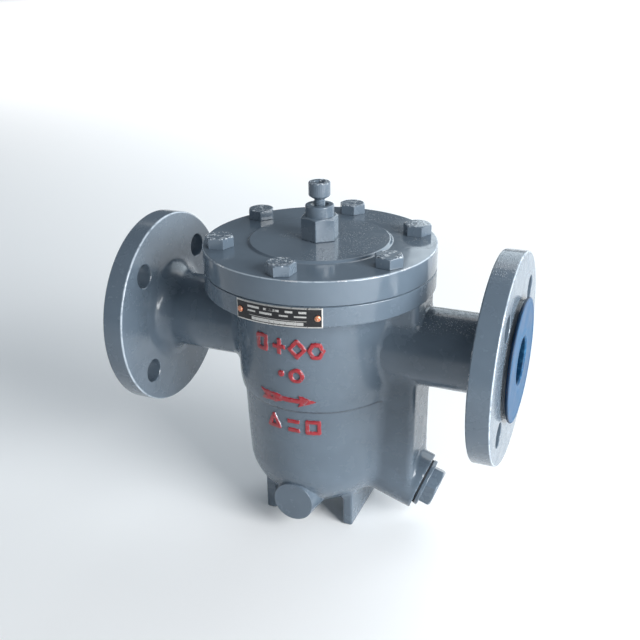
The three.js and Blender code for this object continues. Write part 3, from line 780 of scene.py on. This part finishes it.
def plate_print(name, half_long, half_high):
    """Black plate with a bare border line and blank bars; u and v are in millimetres from the middle."""
    f = Finish(name)
    uv = f.node("ShaderNodeUVMap", uv_map="plate").outputs["UV"]
    split = f.node("ShaderNodeSeparateXYZ", {"Vector": uv})
    u, v = split.outputs[0], split.outputs[1]

    def strip(value, centre, half):
        return f.band(f.math("ABSOLUTE", f.minus(value, centre)), half + 0.06, half - 0.06)

    def past(value, half):
        return f.minus(f.math("ABSOLUTE", value), half)

    ink = f.band(f.highest(past(u, half_long), past(v, half_high)), -1.0, -0.75)
    bars = [(-21, -12, 3.6, 0.75), (-9, 2, 3.6, 0.75), (6, 11, 3.6, 0.75), (15, 20, 3.6, 0.75)]
    bars += [(-21, -15, 0.6, 0.55), (-12, -3, 0.6, 0.75), (2, 8, 0.6, 0.55), (12, 20, 0.6, 0.55)]
    bars += [(-20, 20, -2.4, 0.16), (-18, 18, -4.3, 1.1)]
    for u0, u1, middle, half in bars:
        ink = f.highest(ink, f.times(strip(u, (u0 + u1) / 2, (u1 - u0) / 2), strip(v, middle, half)))
    ink = f.times(ink, f.band(f.noise(5.0, 2, 0.5), 0.28, 0.36))
    smear = f.band(f.noise(9, 3, 0.6), 0.55, 0.75, 0, 0.25)
    black = f.blend(smear, (0.006, 0.006, 0.008), (0.022, 0.024, 0.030))
    f.put(Base_Color=f.blend(ink, black, (0.55, 0.54, 0.52)), Metallic=f.times(ink, 0.7))
    f.put(Roughness=f.band(f.noise(3, 3, 0.6), 0.3, 0.7, 0.25, 0.4), Normal=f.bump(ink, 0.3, 0.05))
    return f.material


def rivet_paint(name):
    f = Finish(name)
    wear_and_highlight = f.band(f.noise(0.9, 4, 0.6), 0.48, 0.56)
    f.put(Base_Color=f.blend(wear_and_highlight, (0.48, 0.10, 0.035), (0.62, 0.45, 0.30)), Metallic=f.times(wear_and_highlight, 0.6))
    f.put(Roughness=0.35, Normal=f.bump(f.noise(0.7, 2, 0.5), 0.3, 0.08))
    return f.material


# Body enamel: painted highlight lines on the pipe flange edges, painted glints on dried paint beads, and
# painted shade under the bowl's step and round the caps.
BODY_PAINT = paint("body_paint", chips=(pipe_flange_edges, body_flange_edge, plug_boss_edge),
                   grit=pipe_grit, wear_and_highlight=flange_highlight_lines, painted_shade=(bowl_step_shade, cap_shadow), cast=0.7, peel=0.6)
# Cover enamel: a painted highlight line along the upper rim, and painted glints on the dried paint beads.
COVER_PAINT = paint("cover_paint", chips=(rim_edges,), grit=cover_grit, wear_and_highlight=cover_highlight_line,
                    cast=0.4, peel=0.8, gloss=0.15, coat=0.4)
BOLT_PAINT = paint("bolt_paint", flecks=head_tops, cast=0.4, coat=0.4)
VENT_PAINT = paint("vent_paint", cast=0.3, peel=0.8, coat=0.3)
SCREW_PAINT = paint("screw_paint", flecks=screw_top, cast=0.3, peel=0.8, coat=0.3)
STAINLESS = steel("stainless")
GRAPHITE = graphite("graphite")
COPPER = copper("copper")
BLUE = blue_plastic("cap_blue")
MARKS = mark_paint("mark_red")
RIVET_PAINT = rivet_paint("rivet_paint")


# ---- body casting

def pipe_arm(side, fillet, back_edge):
    """Pipe stub, neck and flange on one side."""
    r, face_r = FLANGE["r"], FLANGE["face_r"]
    outline = [(0, ARM_ROOT), (PIPE_R, ARM_ROOT), (PIPE_R, FLANGE_BACK, fillet), (r, FLANGE_BACK, back_edge)]
    outline += [(r, FLANGE_FRONT, 1.3), (face_r, FLANGE_FRONT, 0.3), (face_r, FACE_X, 0.5), (0, FACE_X)]
    return lathe("arm", rounded(outline, 7), (0, 0, PIPE_Z), X * side, 144)


def blind_boss():
    """The plugged core boss, with a plainly cut face."""
    b = BLIND_BOSS
    long = b["root_y"] - b["face_y"]
    outline = [(0, 8), (b["root_r"] - 1.2, 8), (b["face_r"] + 0.2, long, 0.45), (0, long)]
    return lathe("boss", rounded(outline, 5), (AXIS_X + b["x"], b["root_y"], b["z"]), -Y, 96)


def body_rim():
    """The body flange, with the fillet under it."""
    r = BOWL["upper_r"] - 0.4
    outline = [(0, RIM_LOW - 12), (r, RIM_LOW - 12), (r, RIM_LOW, 3.2), (COVER_R, RIM_LOW, 1.6)]
    outline += [(COVER_R, RIM_TOP, 0.9), (0, RIM_TOP)]
    return lathe("rim", rounded(outline, 5), (AXIS_X, 0, 0), Z, 160)


def hole_tool(at, along, r, depth, chamfer):
    """A drill that starts above a face at `at` and opens the mouths at both ends of the hole."""
    outline = [(0, -5), (r + chamfer + 5, -5), (r, chamfer), (r, depth - chamfer)]
    outline += [(r + chamfer + 5, depth + 5), (0, depth + 5)]
    return lathe("drill", outline, at, along, 40)


def chamber_tool():
    """The float chamber, with the gasket's seat above it."""
    c, seat_r, seat_z, mouth = CHAMBER, GASKET_SEAT["r"], RIM_TOP - GASKET_SEAT["deep"], RIM_TOP + 1
    end_top, shoulder = BOWL_Z["end_top"], BOWL_Z["shoulder"]
    outline = [(0, c["base"])]
    for step in range(1, 13):
        angle = math.pi / 24 * step
        outline.append((c["end_r"] * math.sin(angle), end_top - (end_top - c["base"]) * math.cos(angle)))
    outline += [(c["lower_r"], shoulder - 15), (c["lower_r"], shoulder), (c["upper_r"], shoulder)]
    outline += [(c["upper_r"], seat_z), (seat_r, seat_z), (seat_r, mouth), (0, mouth)]
    return lathe("chamber", outline, (AXIS_X, 0, 0))


def passage_tools():
    """The pipe bores, the passage down the trunk, and the bores of the seat and its plug."""
    tools = []
    for side, start in ((-1, INLET_BORE_START), (1, PASSAGE["x0"] + AXIS_X)):
        outline = [(0, start), (BORE_R, start), (BORE_R, FACE_X - 0.7)]
        outline += [(BORE_R + 2, FACE_X + 1.3), (0, FACE_X + 1.3)]
        tools.append(lathe("bore", outline, (0, 0, PIPE_Z), X * side, 72))
    p = PASSAGE
    low = (AXIS_X + p["x0"], -p["half_wide"], p["z0"])
    high = (AXIS_X + p["x1"], p["half_wide"], PIPE_Z)
    tools.append(box_solid("passage", low, high))
    at, seat, boss = on_seat_axis(0), SEAT_BORE, SEAT_BOSS
    tools.append(rod("seat_bore", seat["r"], seat["from"], seat["shoulder"] + 2, at, SEAT_LINE, 48))
    tools.append(rod("plug_bore", boss["bore_r"], seat["shoulder"], boss["end"] + 3, at, SEAT_LINE, 56))
    return tools


def hole_tools():
    """The bolt holes of the pipe flanges and of the body flange."""
    tools = []
    for side in (-1, 1):
        for k in range(4):
            angle = math.pi / 2 * (k + 0.5)
            y, z = FLANGE["circle_r"] * math.cos(angle), PIPE_Z + FLANGE["circle_r"] * math.sin(angle)
            at = (side * FLANGE_FRONT, y, z)
            tools.append(hole_tool(at, X * -side, FLANGE["hole_r"], FLANGE["thick"], 0.5))
    for k in range(1, 7):
        x, y, _ = node_centre(f"cover_bolt_{k}")
        tools.append(hole_tool((x, y, RIM_TOP), -Z, BOLT_HOLE["body_r"], RIM_TOP - RIM_LOW, 0.4))
    return tools


def float_ribs():
    """Two low ribs in the bowl that the float settles on."""
    ball = node_centre("float_ball")
    ball_r = (node_box("float_ball")[1][1] - node_box("float_ball")[0][1]) / 2
    half_long, half_thick = RIB["half_long"], RIB["half_thick"]
    top = ball[2] - math.sqrt(ball_r ** 2 - (RIB["y"] - half_thick) ** 2) - RIB["gap"]
    ribs = []
    for y in (-RIB["y"], RIB["y"]):
        low = (ball[0] - half_long, y - half_thick, CHAMBER["base"] - RIB["rooted"])
        ribs.append(box_solid("rib", low, (ball[0] + half_long, y + half_thick, top)))
    return ribs


def build_body():
    """The casting: blended parts, turned parts joined to them, then bores and holes."""
    cell = 1.35
    low = (AXIS_X - 96, -62, -3)
    high = (AXIS_X + 99, 66, RIM_LOW + 8)
    vertices, quads = surface_mesh(casting_distance, low, high, cell)
    vertices[:, 2] = np.maximum(vertices[:, 2], 0.0)
    casting = face_out(new_object("body_casting", vertices, quads.tolist()))
    combine(casting, [body_rim(), pipe_arm(-1, 14, 1.6), pipe_arm(1, 9, 1.1), blind_boss()], "UNION")
    combine(casting, [chamber_tool(), *passage_tools(), *hole_tools()], "DIFFERENCE")
    combine(casting, float_ribs(), "UNION")
    return finish_piece(casting, "trap_body", BODY_PAINT, ["body"], sharp=38)


# ---- raised foundry marks

def polygon_distance(s, t, corners):
    """Signed distance in the plane to a closed polygon."""
    best = np.full(s.shape, 1e9)
    sign = np.ones(s.shape)
    for (ax, ay), (bx, by) in zip(corners, corners[1:] + corners[:1]):
        ex, ey, wx, wy = bx - ax, by - ay, s - ax, t - ay
        k = np.clip((wx * ex + wy * ey) / (ex * ex + ey * ey), 0, 1)
        best = np.minimum(best, (wx - ex * k) ** 2 + (wy - ey * k) ** 2)
        above, below, left = t >= ay, t < by, ex * wy > ey * wx
        flip = (above & below & left) | (~above & ~below & ~left)
        sign = np.where(flip, -sign, sign)
    return sign * np.sqrt(best)


def regular(count, r, squash=1.0, turn=0.0):
    step = 2 * math.pi / count
    return [(r * math.cos(turn + step * k), squash * r * math.sin(turn + step * k)) for k in range(count)]


def outline_of(corners, half_line):
    return lambda s, t: np.abs(polygon_distance(s, t, corners)) - half_line


def solid_of(corners):
    return lambda s, t: polygon_distance(s, t, corners)


def union_of(*shapes):
    return lambda s, t: np.minimum.reduce([shape(s, t) for shape in shapes])


def bar_shape(x, y, half_wide, half_high):
    return lambda s, t: np.maximum(np.abs(s - x) - half_wide, np.abs(t - y) - half_high)


def disc_of(r):
    return lambda s, t: np.hypot(s, t) - r


def ring_of(r, half_line):
    return lambda s, t: np.abs(np.hypot(s, t) - r) - half_line


def flow_arrow():
    head = [(8.5, 5.0), (22.5, 0), (8.5, -5.0), (10.5, 0)]
    upper = [(-22, 4.6), (-17, 3.9), (-8, 3.7), (-2, 1.6), (-2, 0), (-18.5, 0)]
    lower = [(-18.5, 0), (-2, 0), (-2, -1.6), (-8, -3.7), (-17, -3.9), (-22, -4.6)]
    return union_of(solid_of(head), solid_of(upper), solid_of(lower), bar_shape(3, 0, 9, 1.9))


MARK = {"half_line": 1.6, "rise": 1.75, "sunk": 0.45, "rooted": 1.5}


def foundry_marks():
    """Generic cast marks: (name, angle in degrees, height, half width, half height, shape)."""
    line = MARK["half_line"]
    cross = union_of(bar_shape(0, 0, 4.9, line), bar_shape(0, 0, line, 6.2))
    square = [(-3.6, -4.9), (3.6, -4.9), (3.6, 4.9), (-3.6, 4.9)]
    triangle = [(-4.6, -4.4), (4.6, -4.4), (0, 4.8)]
    rows = [
        ("mark_1", -108.9, 161.3, outline_of(square, line)),
        ("mark_2", -95.5, 161.0, cross),
        ("mark_3", -83.2, 160.6, outline_of(regular(4, 5.2, 1.15), line)),
        ("mark_4", -70.8, 160.0, outline_of(regular(6, 4.6, 1.2), line)),
        ("mark_5", -94.5, 140.5, disc_of(2.6)),
        ("mark_6", -84.0, 140.2, ring_of(4.2, line)),
        ("mark_7", -103.7, 98.9, outline_of(triangle, line)),
        ("mark_8", -88.1, 97.9, union_of(bar_shape(0, 3.6, 4.9, line), bar_shape(0, -3.6, 4.9, line))),
        ("mark_9", -73.9, 97.9, outline_of(regular(4, 6.4, 1.0, math.pi / 4), line)),
    ]
    marks = [(name, angle, z, 7.8, 8.2, shape) for name, angle, z, shape in rows]
    marks.append(("flow_arrow", -91.4, 120.6, 25.0, 7.4, flow_arrow()))
    return marks


def wall_radius(z):
    """Radius of the bowl's outside at a height, found from its distance function."""
    r = np.full(np.shape(z), BOWL["upper_r"])
    for _ in range(4):
        p = np.stack([AXIS_X + r, np.zeros_like(r), z], -1)
        r = r - bowl_distance(p)
    return r


def build_mark(name, angle, z_middle, half_wide, half_high, shape):
    """A raised mark on the wall: a closed patch whose border lies under the paint."""
    cell = 0.36
    s = np.arange(-half_wide, half_wide + cell, cell)
    t = np.arange(-half_high, half_high + cell, cell)
    ss, tt = np.meshgrid(s, t, indexing="ij")
    seed = sum(ord(letter) for letter in name)
    flat = np.stack([ss, tt, np.zeros_like(ss)], -1)
    d = shape(ss, tt) + 0.28 * value_noise(flat, 2.3, seed)
    lift = smooth(np.clip(0.5 - d, 0, 1))
    rise = MARK["rise"] * lift * (1 + 0.18 * value_noise(flat, 4.0, seed + 1)) - MARK["sunk"]
    z = z_middle + tt
    r = wall_radius(z) + rise
    phi = math.radians(angle) + ss / BOWL["upper_r"]
    vertices = round_wall(r, phi, z)
    quads, border = grid_faces(*ss.shape)
    inner = vertices[border]
    toward = inner - np.array([AXIS_X, 0, 0])
    toward[:, 2] = 0
    inner = inner - MARK["rooted"] * toward / np.linalg.norm(toward, axis=1)[:, None]
    start = len(vertices)
    count = len(border)
    faces = quads.tolist()
    for k in range(count):
        n = (k + 1) % count
        faces.append((border[n], border[k], start + k, start + n))
    faces.append(tuple(start + k for k in range(count)))
    mark = face_out(new_object(name, np.vstack([vertices, inner]), faces))
    values = np.concatenate([lift.reshape(-1), np.zeros(count)]).astype(np.float32)
    mark.data.attributes.new("lift", "FLOAT", "POINT").data.foreach_set("value", values)
    return finish_piece(mark, "trap_body", MARKS, sharp=60)


# ---- cover, bolts and gasket

def build_cover():
    top = COVER_TOP
    spigot = CHAMBER["upper_r"] - 0.3
    outline = [(0, COVER_LOW[2]), (spigot, COVER_LOW[2], 0.4), (spigot, COVER_LOW_Z)]
    outline += [(COVER_R, COVER_LOW_Z, 0.9), (COVER_R, top, 1.4), (RAISED_R + 1.8, top, 1.6)]
    outline += [(RAISED_R, top + RAISED_HIGH, 1.2), (0, top + RAISED_HIGH)]
    cover = lathe("cover_plate", rounded(outline, 6), (AXIS_X, 0, 0), Z, 160)
    tools = [hole_tool((AXIS_X, 0, top + RAISED_HIGH), -Z, 8.3, top + RAISED_HIGH - COVER_LOW[2], 0.2)]
    for k in range(1, 7):
        x, y, _ = node_centre(f"cover_bolt_{k}")
        tools.append(hole_tool((x, y, top), -Z, BOLT_HOLE["cover_r"], top - COVER_LOW_Z, 0.2))
    combine(cover, tools, "DIFFERENCE")
    return finish_piece(cover, "trap_body", COVER_PAINT, ["cover"])


def hexagon(name, across, z0, z1, at, along=Z, turn=0.0, edge=0.35):
    """A hexagon head with softened corners and, on the far end, a turned chamfer."""
    corner, slope = across / math.sqrt(3), math.tan(math.radians(27))
    flat = across / 2 * 0.95
    head = rod(name, corner, z0, z1, at, along, 6, turn)
    outline = [(0, z0 - 1), (corner + 1, z0 - 1), (corner + 1, z1 - (corner + 1 - flat) * slope)]
    outline += [(flat, z1, 0.8), (0, z1)]
    combine(head, [lathe("crown", rounded(outline), at, along)], "INTERSECT")
    return bevelled(head, edge)


def thread(r, z0, z1, pitch, deep):
    """Outline points of plain grooves that stand for a thread."""
    outline, z = [], z0
    while z < z1:
        outline += [(r, z + 0.2 * pitch), (r - deep, z + 0.5 * pitch), (r, z + 0.8 * pitch)]
        z += pitch
    return outline


BOLT = {"across": 18, "head_high": 7.5, "shank_r": 6, "thread_top": 18, "pitch": 1.75, "groove": 0.8}
BOLT_TURNS = (3.5, 57, 52.5, 11, 27, 52.5)


def build_bolt(number, turn):
    """A cover bolt: its painted head and its threaded shank."""
    node = f"cover_bolt_{number}"
    low, high = node_box(node)
    x, y, _ = node_centre(node)
    seat = high[2] - BOLT["head_high"]
    at = (x, y, 0)
    head = hexagon(node + "_head", BOLT["across"], seat, high[2], at, turn=math.radians(turn))
    r = BOLT["shank_r"]
    outline = [(0, low[2]), (r - 1, low[2]), (r, low[2] + 1)]
    outline += thread(r, low[2] + 1, low[2] + BOLT["thread_top"], BOLT["pitch"], BOLT["groove"])
    outline += [(r, seat + 1), (0, seat + 1)]
    combine(head, [lathe("shank", outline, at, Z, 32)], "UNION")
    return finish_piece(head, "trap_body", BOLT_PAINT, [node])


# ---- air vent

VENT = {"across": 24, "hex_high": 16.6, "collar_r": 10.2, "collar_high": 7.7, "stem_r": 8, "turn": 39,
        "relief_r": 1.2}
SCREW = {"neck_r": 4, "head_r": 7.7, "head_high": 12.3, "cone_high": 2.6, "socket": 6, "socket_deep": 5.5,
         "pitch": 1.25, "groove": 0.55}


def build_vent_body():
    v = VENT
    low, high = node_box("vent_body")
    top, seat = high[2], high[2] - v["collar_high"] - v["hex_high"]
    at = (AXIS_X, 0, 0)
    hex_top = seat + v["hex_high"]
    body = hexagon("vent_hexagon", v["across"], seat, hex_top, at, turn=math.radians(v["turn"]), edge=0.5)
    collar = [(0, hex_top - 2), (v["collar_r"], hex_top - 2), (v["collar_r"], top, 0.9), (0, top)]
    stem = [(0, low[2]), (v["stem_r"] - 0.8, low[2]), (v["stem_r"], low[2] + 0.8)]
    stem += [(v["stem_r"], seat + 1), (0, seat + 1)]
    parts = [lathe("collar", rounded(collar, 5), at, Z, 64), lathe("stem", stem, at, Z, 48)]
    combine(body, parts, "UNION")
    ball_low, ball_high = node_box("vent_ball")
    ball_z = (ball_low[2] + ball_high[2]) / 2
    wide = SCREW["neck_r"] + 0.3
    bore = [(0, low[2] - 1), (1.5, low[2] - 1), (1.5, ball_z - 3.6), (wide, ball_z - 0.9), (wide, top - 2.2)]
    bore += [(wide + 2.2, top - 0.2), (wide + 2.2, top + 1), (0, top + 1)]
    sideways = Matrix.Rotation(math.radians(v["turn"]), 3, "Z") @ Y
    relief = rod("relief", v["relief_r"], 0, 15, (AXIS_X, 0, hex_top + 3), sideways, 20)
    combine(body, [lathe("bore", bore, at, Z, 48), relief], "DIFFERENCE")
    return finish_piece(body, "trap_body", VENT_PAINT, ["vent_body"])


def build_vent_screw():
    """Socket head screw with a finely knurled head."""
    s = SCREW
    low, high = node_box("vent_screw")
    seat = high[2] - s["head_high"]
    at = (AXIS_X, 0, 0)
    outline = [(0, low[2]), (s["neck_r"] - 1, low[2]), (s["neck_r"], low[2] + 1)]
    outline += thread(s["neck_r"], low[2] + 1, seat - 1.9, s["pitch"], s["groove"])
    outline += [(s["neck_r"] - 0.5, seat - 0.6), (s["neck_r"] - 0.4, seat)]
    outline += [(s["head_r"] - 0.5, seat + s["cone_high"] - 0.3), (s["head_r"], seat + s["cone_high"] + 0.5)]
    outline += [(s["head_r"], high[2] - 0.7), (s["head_r"] - 0.35, high[2] - 0.2)]
    outline += [(s["head_r"] - 0.9, high[2]), (0, high[2])]
    screw = lathe("vent_cap_screw", outline, at, Z, 144)
    knurl(screw, seat + s["cone_high"] + 0.6, high[2] - 0.9, s["head_r"])
    corner = s["socket"] / math.sqrt(3)
    socket = rod("socket", corner, high[2] - s["socket_deep"], high[2] + 1, at, Z, 6)
    mouth = [(0, high[2] - 0.4), (corner, high[2] - 0.4), (corner + 1.4, high[2] + 1), (0, high[2] + 1)]
    combine(screw, [socket, lathe("mouth", mouth, at, Z, 48)], "DIFFERENCE")
    return finish_piece(screw, "vent_screw", SCREW_PAINT, ["vent_screw"])


def knurl(thing, z0, z1, r):
    """Fine straight grooves round a head, softened by paint."""
    grooves, deep = 36, 0.014
    for vertex in thing.data.vertices:
        x, y, z = vertex.co.x / MM - AXIS_X, vertex.co.y / MM, vertex.co.z / MM
        here = math.hypot(x, y)
        if here < r - 0.2 or z < z0 - 1 or z > z1 + 1:
            continue
        angle = math.atan2(y, x)
        scale = 1 - deep * (0.5 + 0.5 * math.cos(angle * grooves))
        vertex.co.x = (AXIS_X + x * scale) * MM
        vertex.co.y = y * scale * MM


# ---- plug, gasket and caps

PLUG = {"flange_r": 18.5, "flange_thick": 3.1, "across": 27.6, "hex_high": 8.8, "shank": 15, "cup_r": 9}
PLUG_AT = SEAT_BOSS["end"] + 1.2


def build_plug():
    p = PLUG
    at = on_seat_axis(PLUG_AT)
    top = p["flange_thick"] + p["hex_high"]
    shank_r = SEAT_BOSS["bore_r"] - 0.3
    head = hexagon("plug_head", p["across"], p["flange_thick"] - 1, top, at, SEAT_LINE, edge=0.5)
    flange = [(0, -2), (shank_r, -2), (shank_r, 0), (p["flange_r"], 0, 0.6)]
    flange += [(p["flange_r"], p["flange_thick"], 0.9), (0, p["flange_thick"])]
    shank = [(0, -p["shank"]), (shank_r - 1, -p["shank"]), (shank_r, 1 - p["shank"]), (shank_r, -1), (0, -1)]
    parts = [lathe("flange", rounded(flange, 4), at, SEAT_LINE, 96), lathe("shank", shank, at, SEAT_LINE, 64)]
    combine(head, parts, "UNION")
    combine(head, [rod("cup", p["cup_r"], -p["shank"] - 1, -3, at, SEAT_LINE, 48)], "DIFFERENCE")
    return finish_piece(head, "trap_body", VENT_PAINT, ["seat_plug"])


def build_ring(name, node, inner, outer, thick, at, along, material):
    """A flat gasket with slightly rounded rims."""
    e = min(0.25, thick / 3)
    outline = [(inner, e), (inner + e, 0), (outer - e, 0), (outer, e)]
    outline += [(outer, thick - e), (outer - e, thick), (inner + e, thick), (inner, thick - e)]
    gasket = lathe(name, outline, at, along, ring=True)
    return finish_piece(gasket, "trap_body", material, [node], sharp=50)


def build_cap(name, node, side):
    """Push-in plastic flange cap with a cup in the bore and a soft domed disc."""
    low, high = node_box(node)
    r = (high[2] - low[2]) / 2
    top = high[0] - FACE_X if side > 0 else -low[0] - FACE_X
    cup, cup_r, hole = 12, BORE_R - 0.3, 16.6
    outline = [(0, -cup), (cup_r, -cup, 1.5), (cup_r, 0.1, 0.3), (r - 1.0, 0.1, 0.4), (r, 0.9, 0.6)]
    outline += [(r, top - 0.4, 0.9), (r - 2.2, top, 0.6), (r - 3.6, top - 0.35, 0.6)]
    outline += [(hole + 6, top - 0.55, 2), (hole + 1.2, top - 0.25, 1.2), (hole, top - 1.4, 1.0)]
    outline += [(hole - 0.5, 1.8 - cup, 1.2), (0, 1.5 - cup)]
    cap = lathe(name, rounded(outline, 5), (side * FACE_X, 0, PIPE_Z), X * side, 144)
    return finish_piece(cap, node, BLUE, [node])


# ---- nameplate

PLATE = {"thick": 0.8, "high": 13.8, "from": -108.4, "to": -66.6}


def build_nameplate():
    """Thin plate bent to the rim, with its edges rolled down a little and a slight buckle."""
    p = PLATE
    r = COVER_R + 0.1
    half_long = math.radians(p["to"] - p["from"]) / 2 * r
    half_high = p["high"] / 2
    middle = math.radians((p["from"] + p["to"]) / 2)
    z_middle = node_centre("nameplate")[2]
    columns = np.linspace(-half_long, half_long, 97)
    rows = np.linspace(-half_high, half_high, 25)
    ss, tt = np.meshgrid(columns, rows, indexing="ij")
    edge = np.minimum(half_long - np.abs(ss), half_high - np.abs(tt))
    rise = p["thick"] - 0.25 * np.clip(1 - edge / 0.6, 0, 1) ** 2
    buckle = 0.10 * value_noise(np.stack([ss, tt, 0 * ss], -1), 13.0, 21)
    rr = r + rise + np.minimum(buckle, 0)
    phi = middle + ss / r
    outside = round_wall(rr, phi, z_middle + tt)
    inside = round_wall(r, phi, z_middle + tt)
    quads, border = grid_faces(*ss.shape)
    back = quads[:, ::-1] + ss.size
    walls = [(b, a, a + ss.size, b + ss.size) for a, b in zip(border, border[1:] + border[:1])]
    faces = quads.tolist() + back.tolist() + walls
    plate = new_object("nameplate_sheet", np.vstack([outside, inside]), faces)
    face_out(plate)
    layer = plate.data.uv_layers.new(name="plate")
    flat = np.stack([ss, tt], -1).reshape(-1, 2)
    flat = np.vstack([flat, flat])
    corner = np.zeros(len(plate.data.loops), np.int32)
    plate.data.loops.foreach_get("vertex_index", corner)
    layer.data.foreach_set("uv", flat[corner].astype(np.float32).reshape(-1))
    material = plate_print("nameplate_print", half_long, half_high)
    return finish_piece(plate, "trap_body", material, ["nameplate"], sharp=50)


def build_rivet(name, node):
    low, high = node_box(node)
    centre = (low + high) / 2
    out = Vector((centre[0] - AXIS_X, centre[1], 0)).normalized()
    at = Vector((AXIS_X, 0, centre[2])) + out * (COVER_R + PLATE["thick"] + 0.3)
    outline = [(0, -0.8), (1.2, -0.8), (1.2, 0), (2.1, 0), (2.1, 0.25)]
    for step in range(1, 7):
        angle = math.pi / 12 * step
        outline.append((2.1 * math.cos(angle) if step < 6 else 0, 0.25 + 1.0 * math.sin(angle)))
    return finish_piece(lathe(name, outline, at, out, 32), "trap_body", RIVET_PAINT, [node])


# ---- the object

build_body()
for mark in foundry_marks():
    build_mark(*mark)
build_cover()
for number, turn in enumerate(BOLT_TURNS, 1):
    build_bolt(number, turn)
build_vent_body()
build_vent_screw()
build_plug()
build_ring("plug_washer", "plug_gasket", SEAT_BOSS["bore_r"] + 0.3, 17.9, 1.0,
           on_seat_axis(SEAT_BOSS["end"] + 0.1), SEAT_LINE, GRAPHITE)
build_ring("cover_ring", "cover_gasket", CHAMBER["upper_r"] + 0.5, 62.0, 1.2,
           (AXIS_X, 0, RIM_TOP - 1.1), Z, GRAPHITE)
build_cap("inlet_protector", "inlet_cap", -1)
build_cap("outlet_protector", "outlet_cap", 1)
build_nameplate()
build_rivet("rivet_left", "nameplate_rivet_left")
build_rivet("rivet_right", "nameplate_rivet_right")

for node, material in (("vent_gasket", COPPER), ("seat_gasket", COPPER), ("seat", STAINLESS),
                       ("vent_ball", STAINLESS), ("float_ball", STAINLESS), ("strainer_screen", STAINLESS)):
    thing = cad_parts[node]
    if thing.material_slots:
        thing.material_slots[0].material = material
    else:
        thing.data.materials.append(material)


# ---- floor, light and camera

def build_floor():
    far, under = 30000, -0.2
    corners = [(-far, -far, under), (far, -far, under), (far, far, under), (-far, far, under)]
    floor = new_object("floor", corners, [(0, 1, 2, 3)])
    f = Finish("floor")
    f.put(Base_Color=(0.90, 0.90, 0.90), Roughness=0.8)
    floor.data.materials.append(f.material)


def area_light(name, at, target, size, power, colour=(1, 1, 1)):
    light = bpy.data.lights.new(name, "AREA")
    light.shape = "RECTANGLE"
    light.size, light.size_y = size
    light.energy = power
    light.color = colour
    holder = bpy.data.objects.new(name, light)
    bpy.context.scene.collection.objects.link(holder)
    holder.location = at
    holder.rotation_euler = (Vector(target) - Vector(at)).to_track_quat("-Z", "Y").to_euler()
    return holder


def build_world():
    world = bpy.data.worlds.new("studio")
    bpy.context.scene.world = world
    world.use_nodes = True
    background = world.node_tree.nodes["Background"]
    background.inputs["Color"].default_value = (0.74, 0.87, 1.0, 1)
    background.inputs["Strength"].default_value = 0.19


def build_camera():
    """Looks down on the trap from the front and a little to the outlet side."""
    azimuth, elevation, roll = math.radians(22.61), math.radians(25.24), math.radians(-0.74)
    distance = 0.6529
    target = Vector((-0.0005, -0.0050, 0.1380))
    back = Vector((math.sin(azimuth) * math.cos(elevation), -math.cos(azimuth) * math.cos(elevation),
                   math.sin(elevation)))
    right = Vector((math.cos(azimuth), math.sin(azimuth), 0))
    up = back.cross(right)
    turned_right = math.cos(roll) * right + math.sin(roll) * up
    turned_up = back.cross(turned_right)
    camera = bpy.data.cameras.new("camera")
    camera.sensor_width = 36
    camera.lens = 49.2
    camera.shift_y = 0.0394
    camera.clip_start = 0.01
    holder = bpy.data.objects.new("camera", camera)
    bpy.context.scene.collection.objects.link(holder)
    holder.matrix_world = Matrix.Translation(target + back * distance) @ Matrix(
        (turned_right, turned_up, back)).transposed().to_4x4()
    bpy.context.scene.camera = holder


build_floor()
build_world()
middle = (0, 0, 0.14)
area_light("key_low", (1.38, -0.15, 0.4), middle, (1.2, 0.6), 3.6, (0.97, 0.99, 1.0))
area_light("key_mid", (1.25, -0.45, 0.62), middle, (0.9, 0.8), 35.5, (0.97, 0.99, 1.0))
area_light("left", (-1.4, -0.4, 0.6), middle, (1.0, 0.9), 3.5, (0.90, 0.96, 1.0))
area_light("back", (0.35, 1.6, 0.98), middle, (1.7, 1.15), 13, (0.82, 0.93, 1.0))
backdrop = area_light("backdrop", (-1.3, 4.2, 2.4), (-1.3, 4.2, 0), (6, 5), 200)
backdrop.data.spread = math.radians(110)
bpy.context.scene.view_settings.view_transform = "Standard"
build_camera()
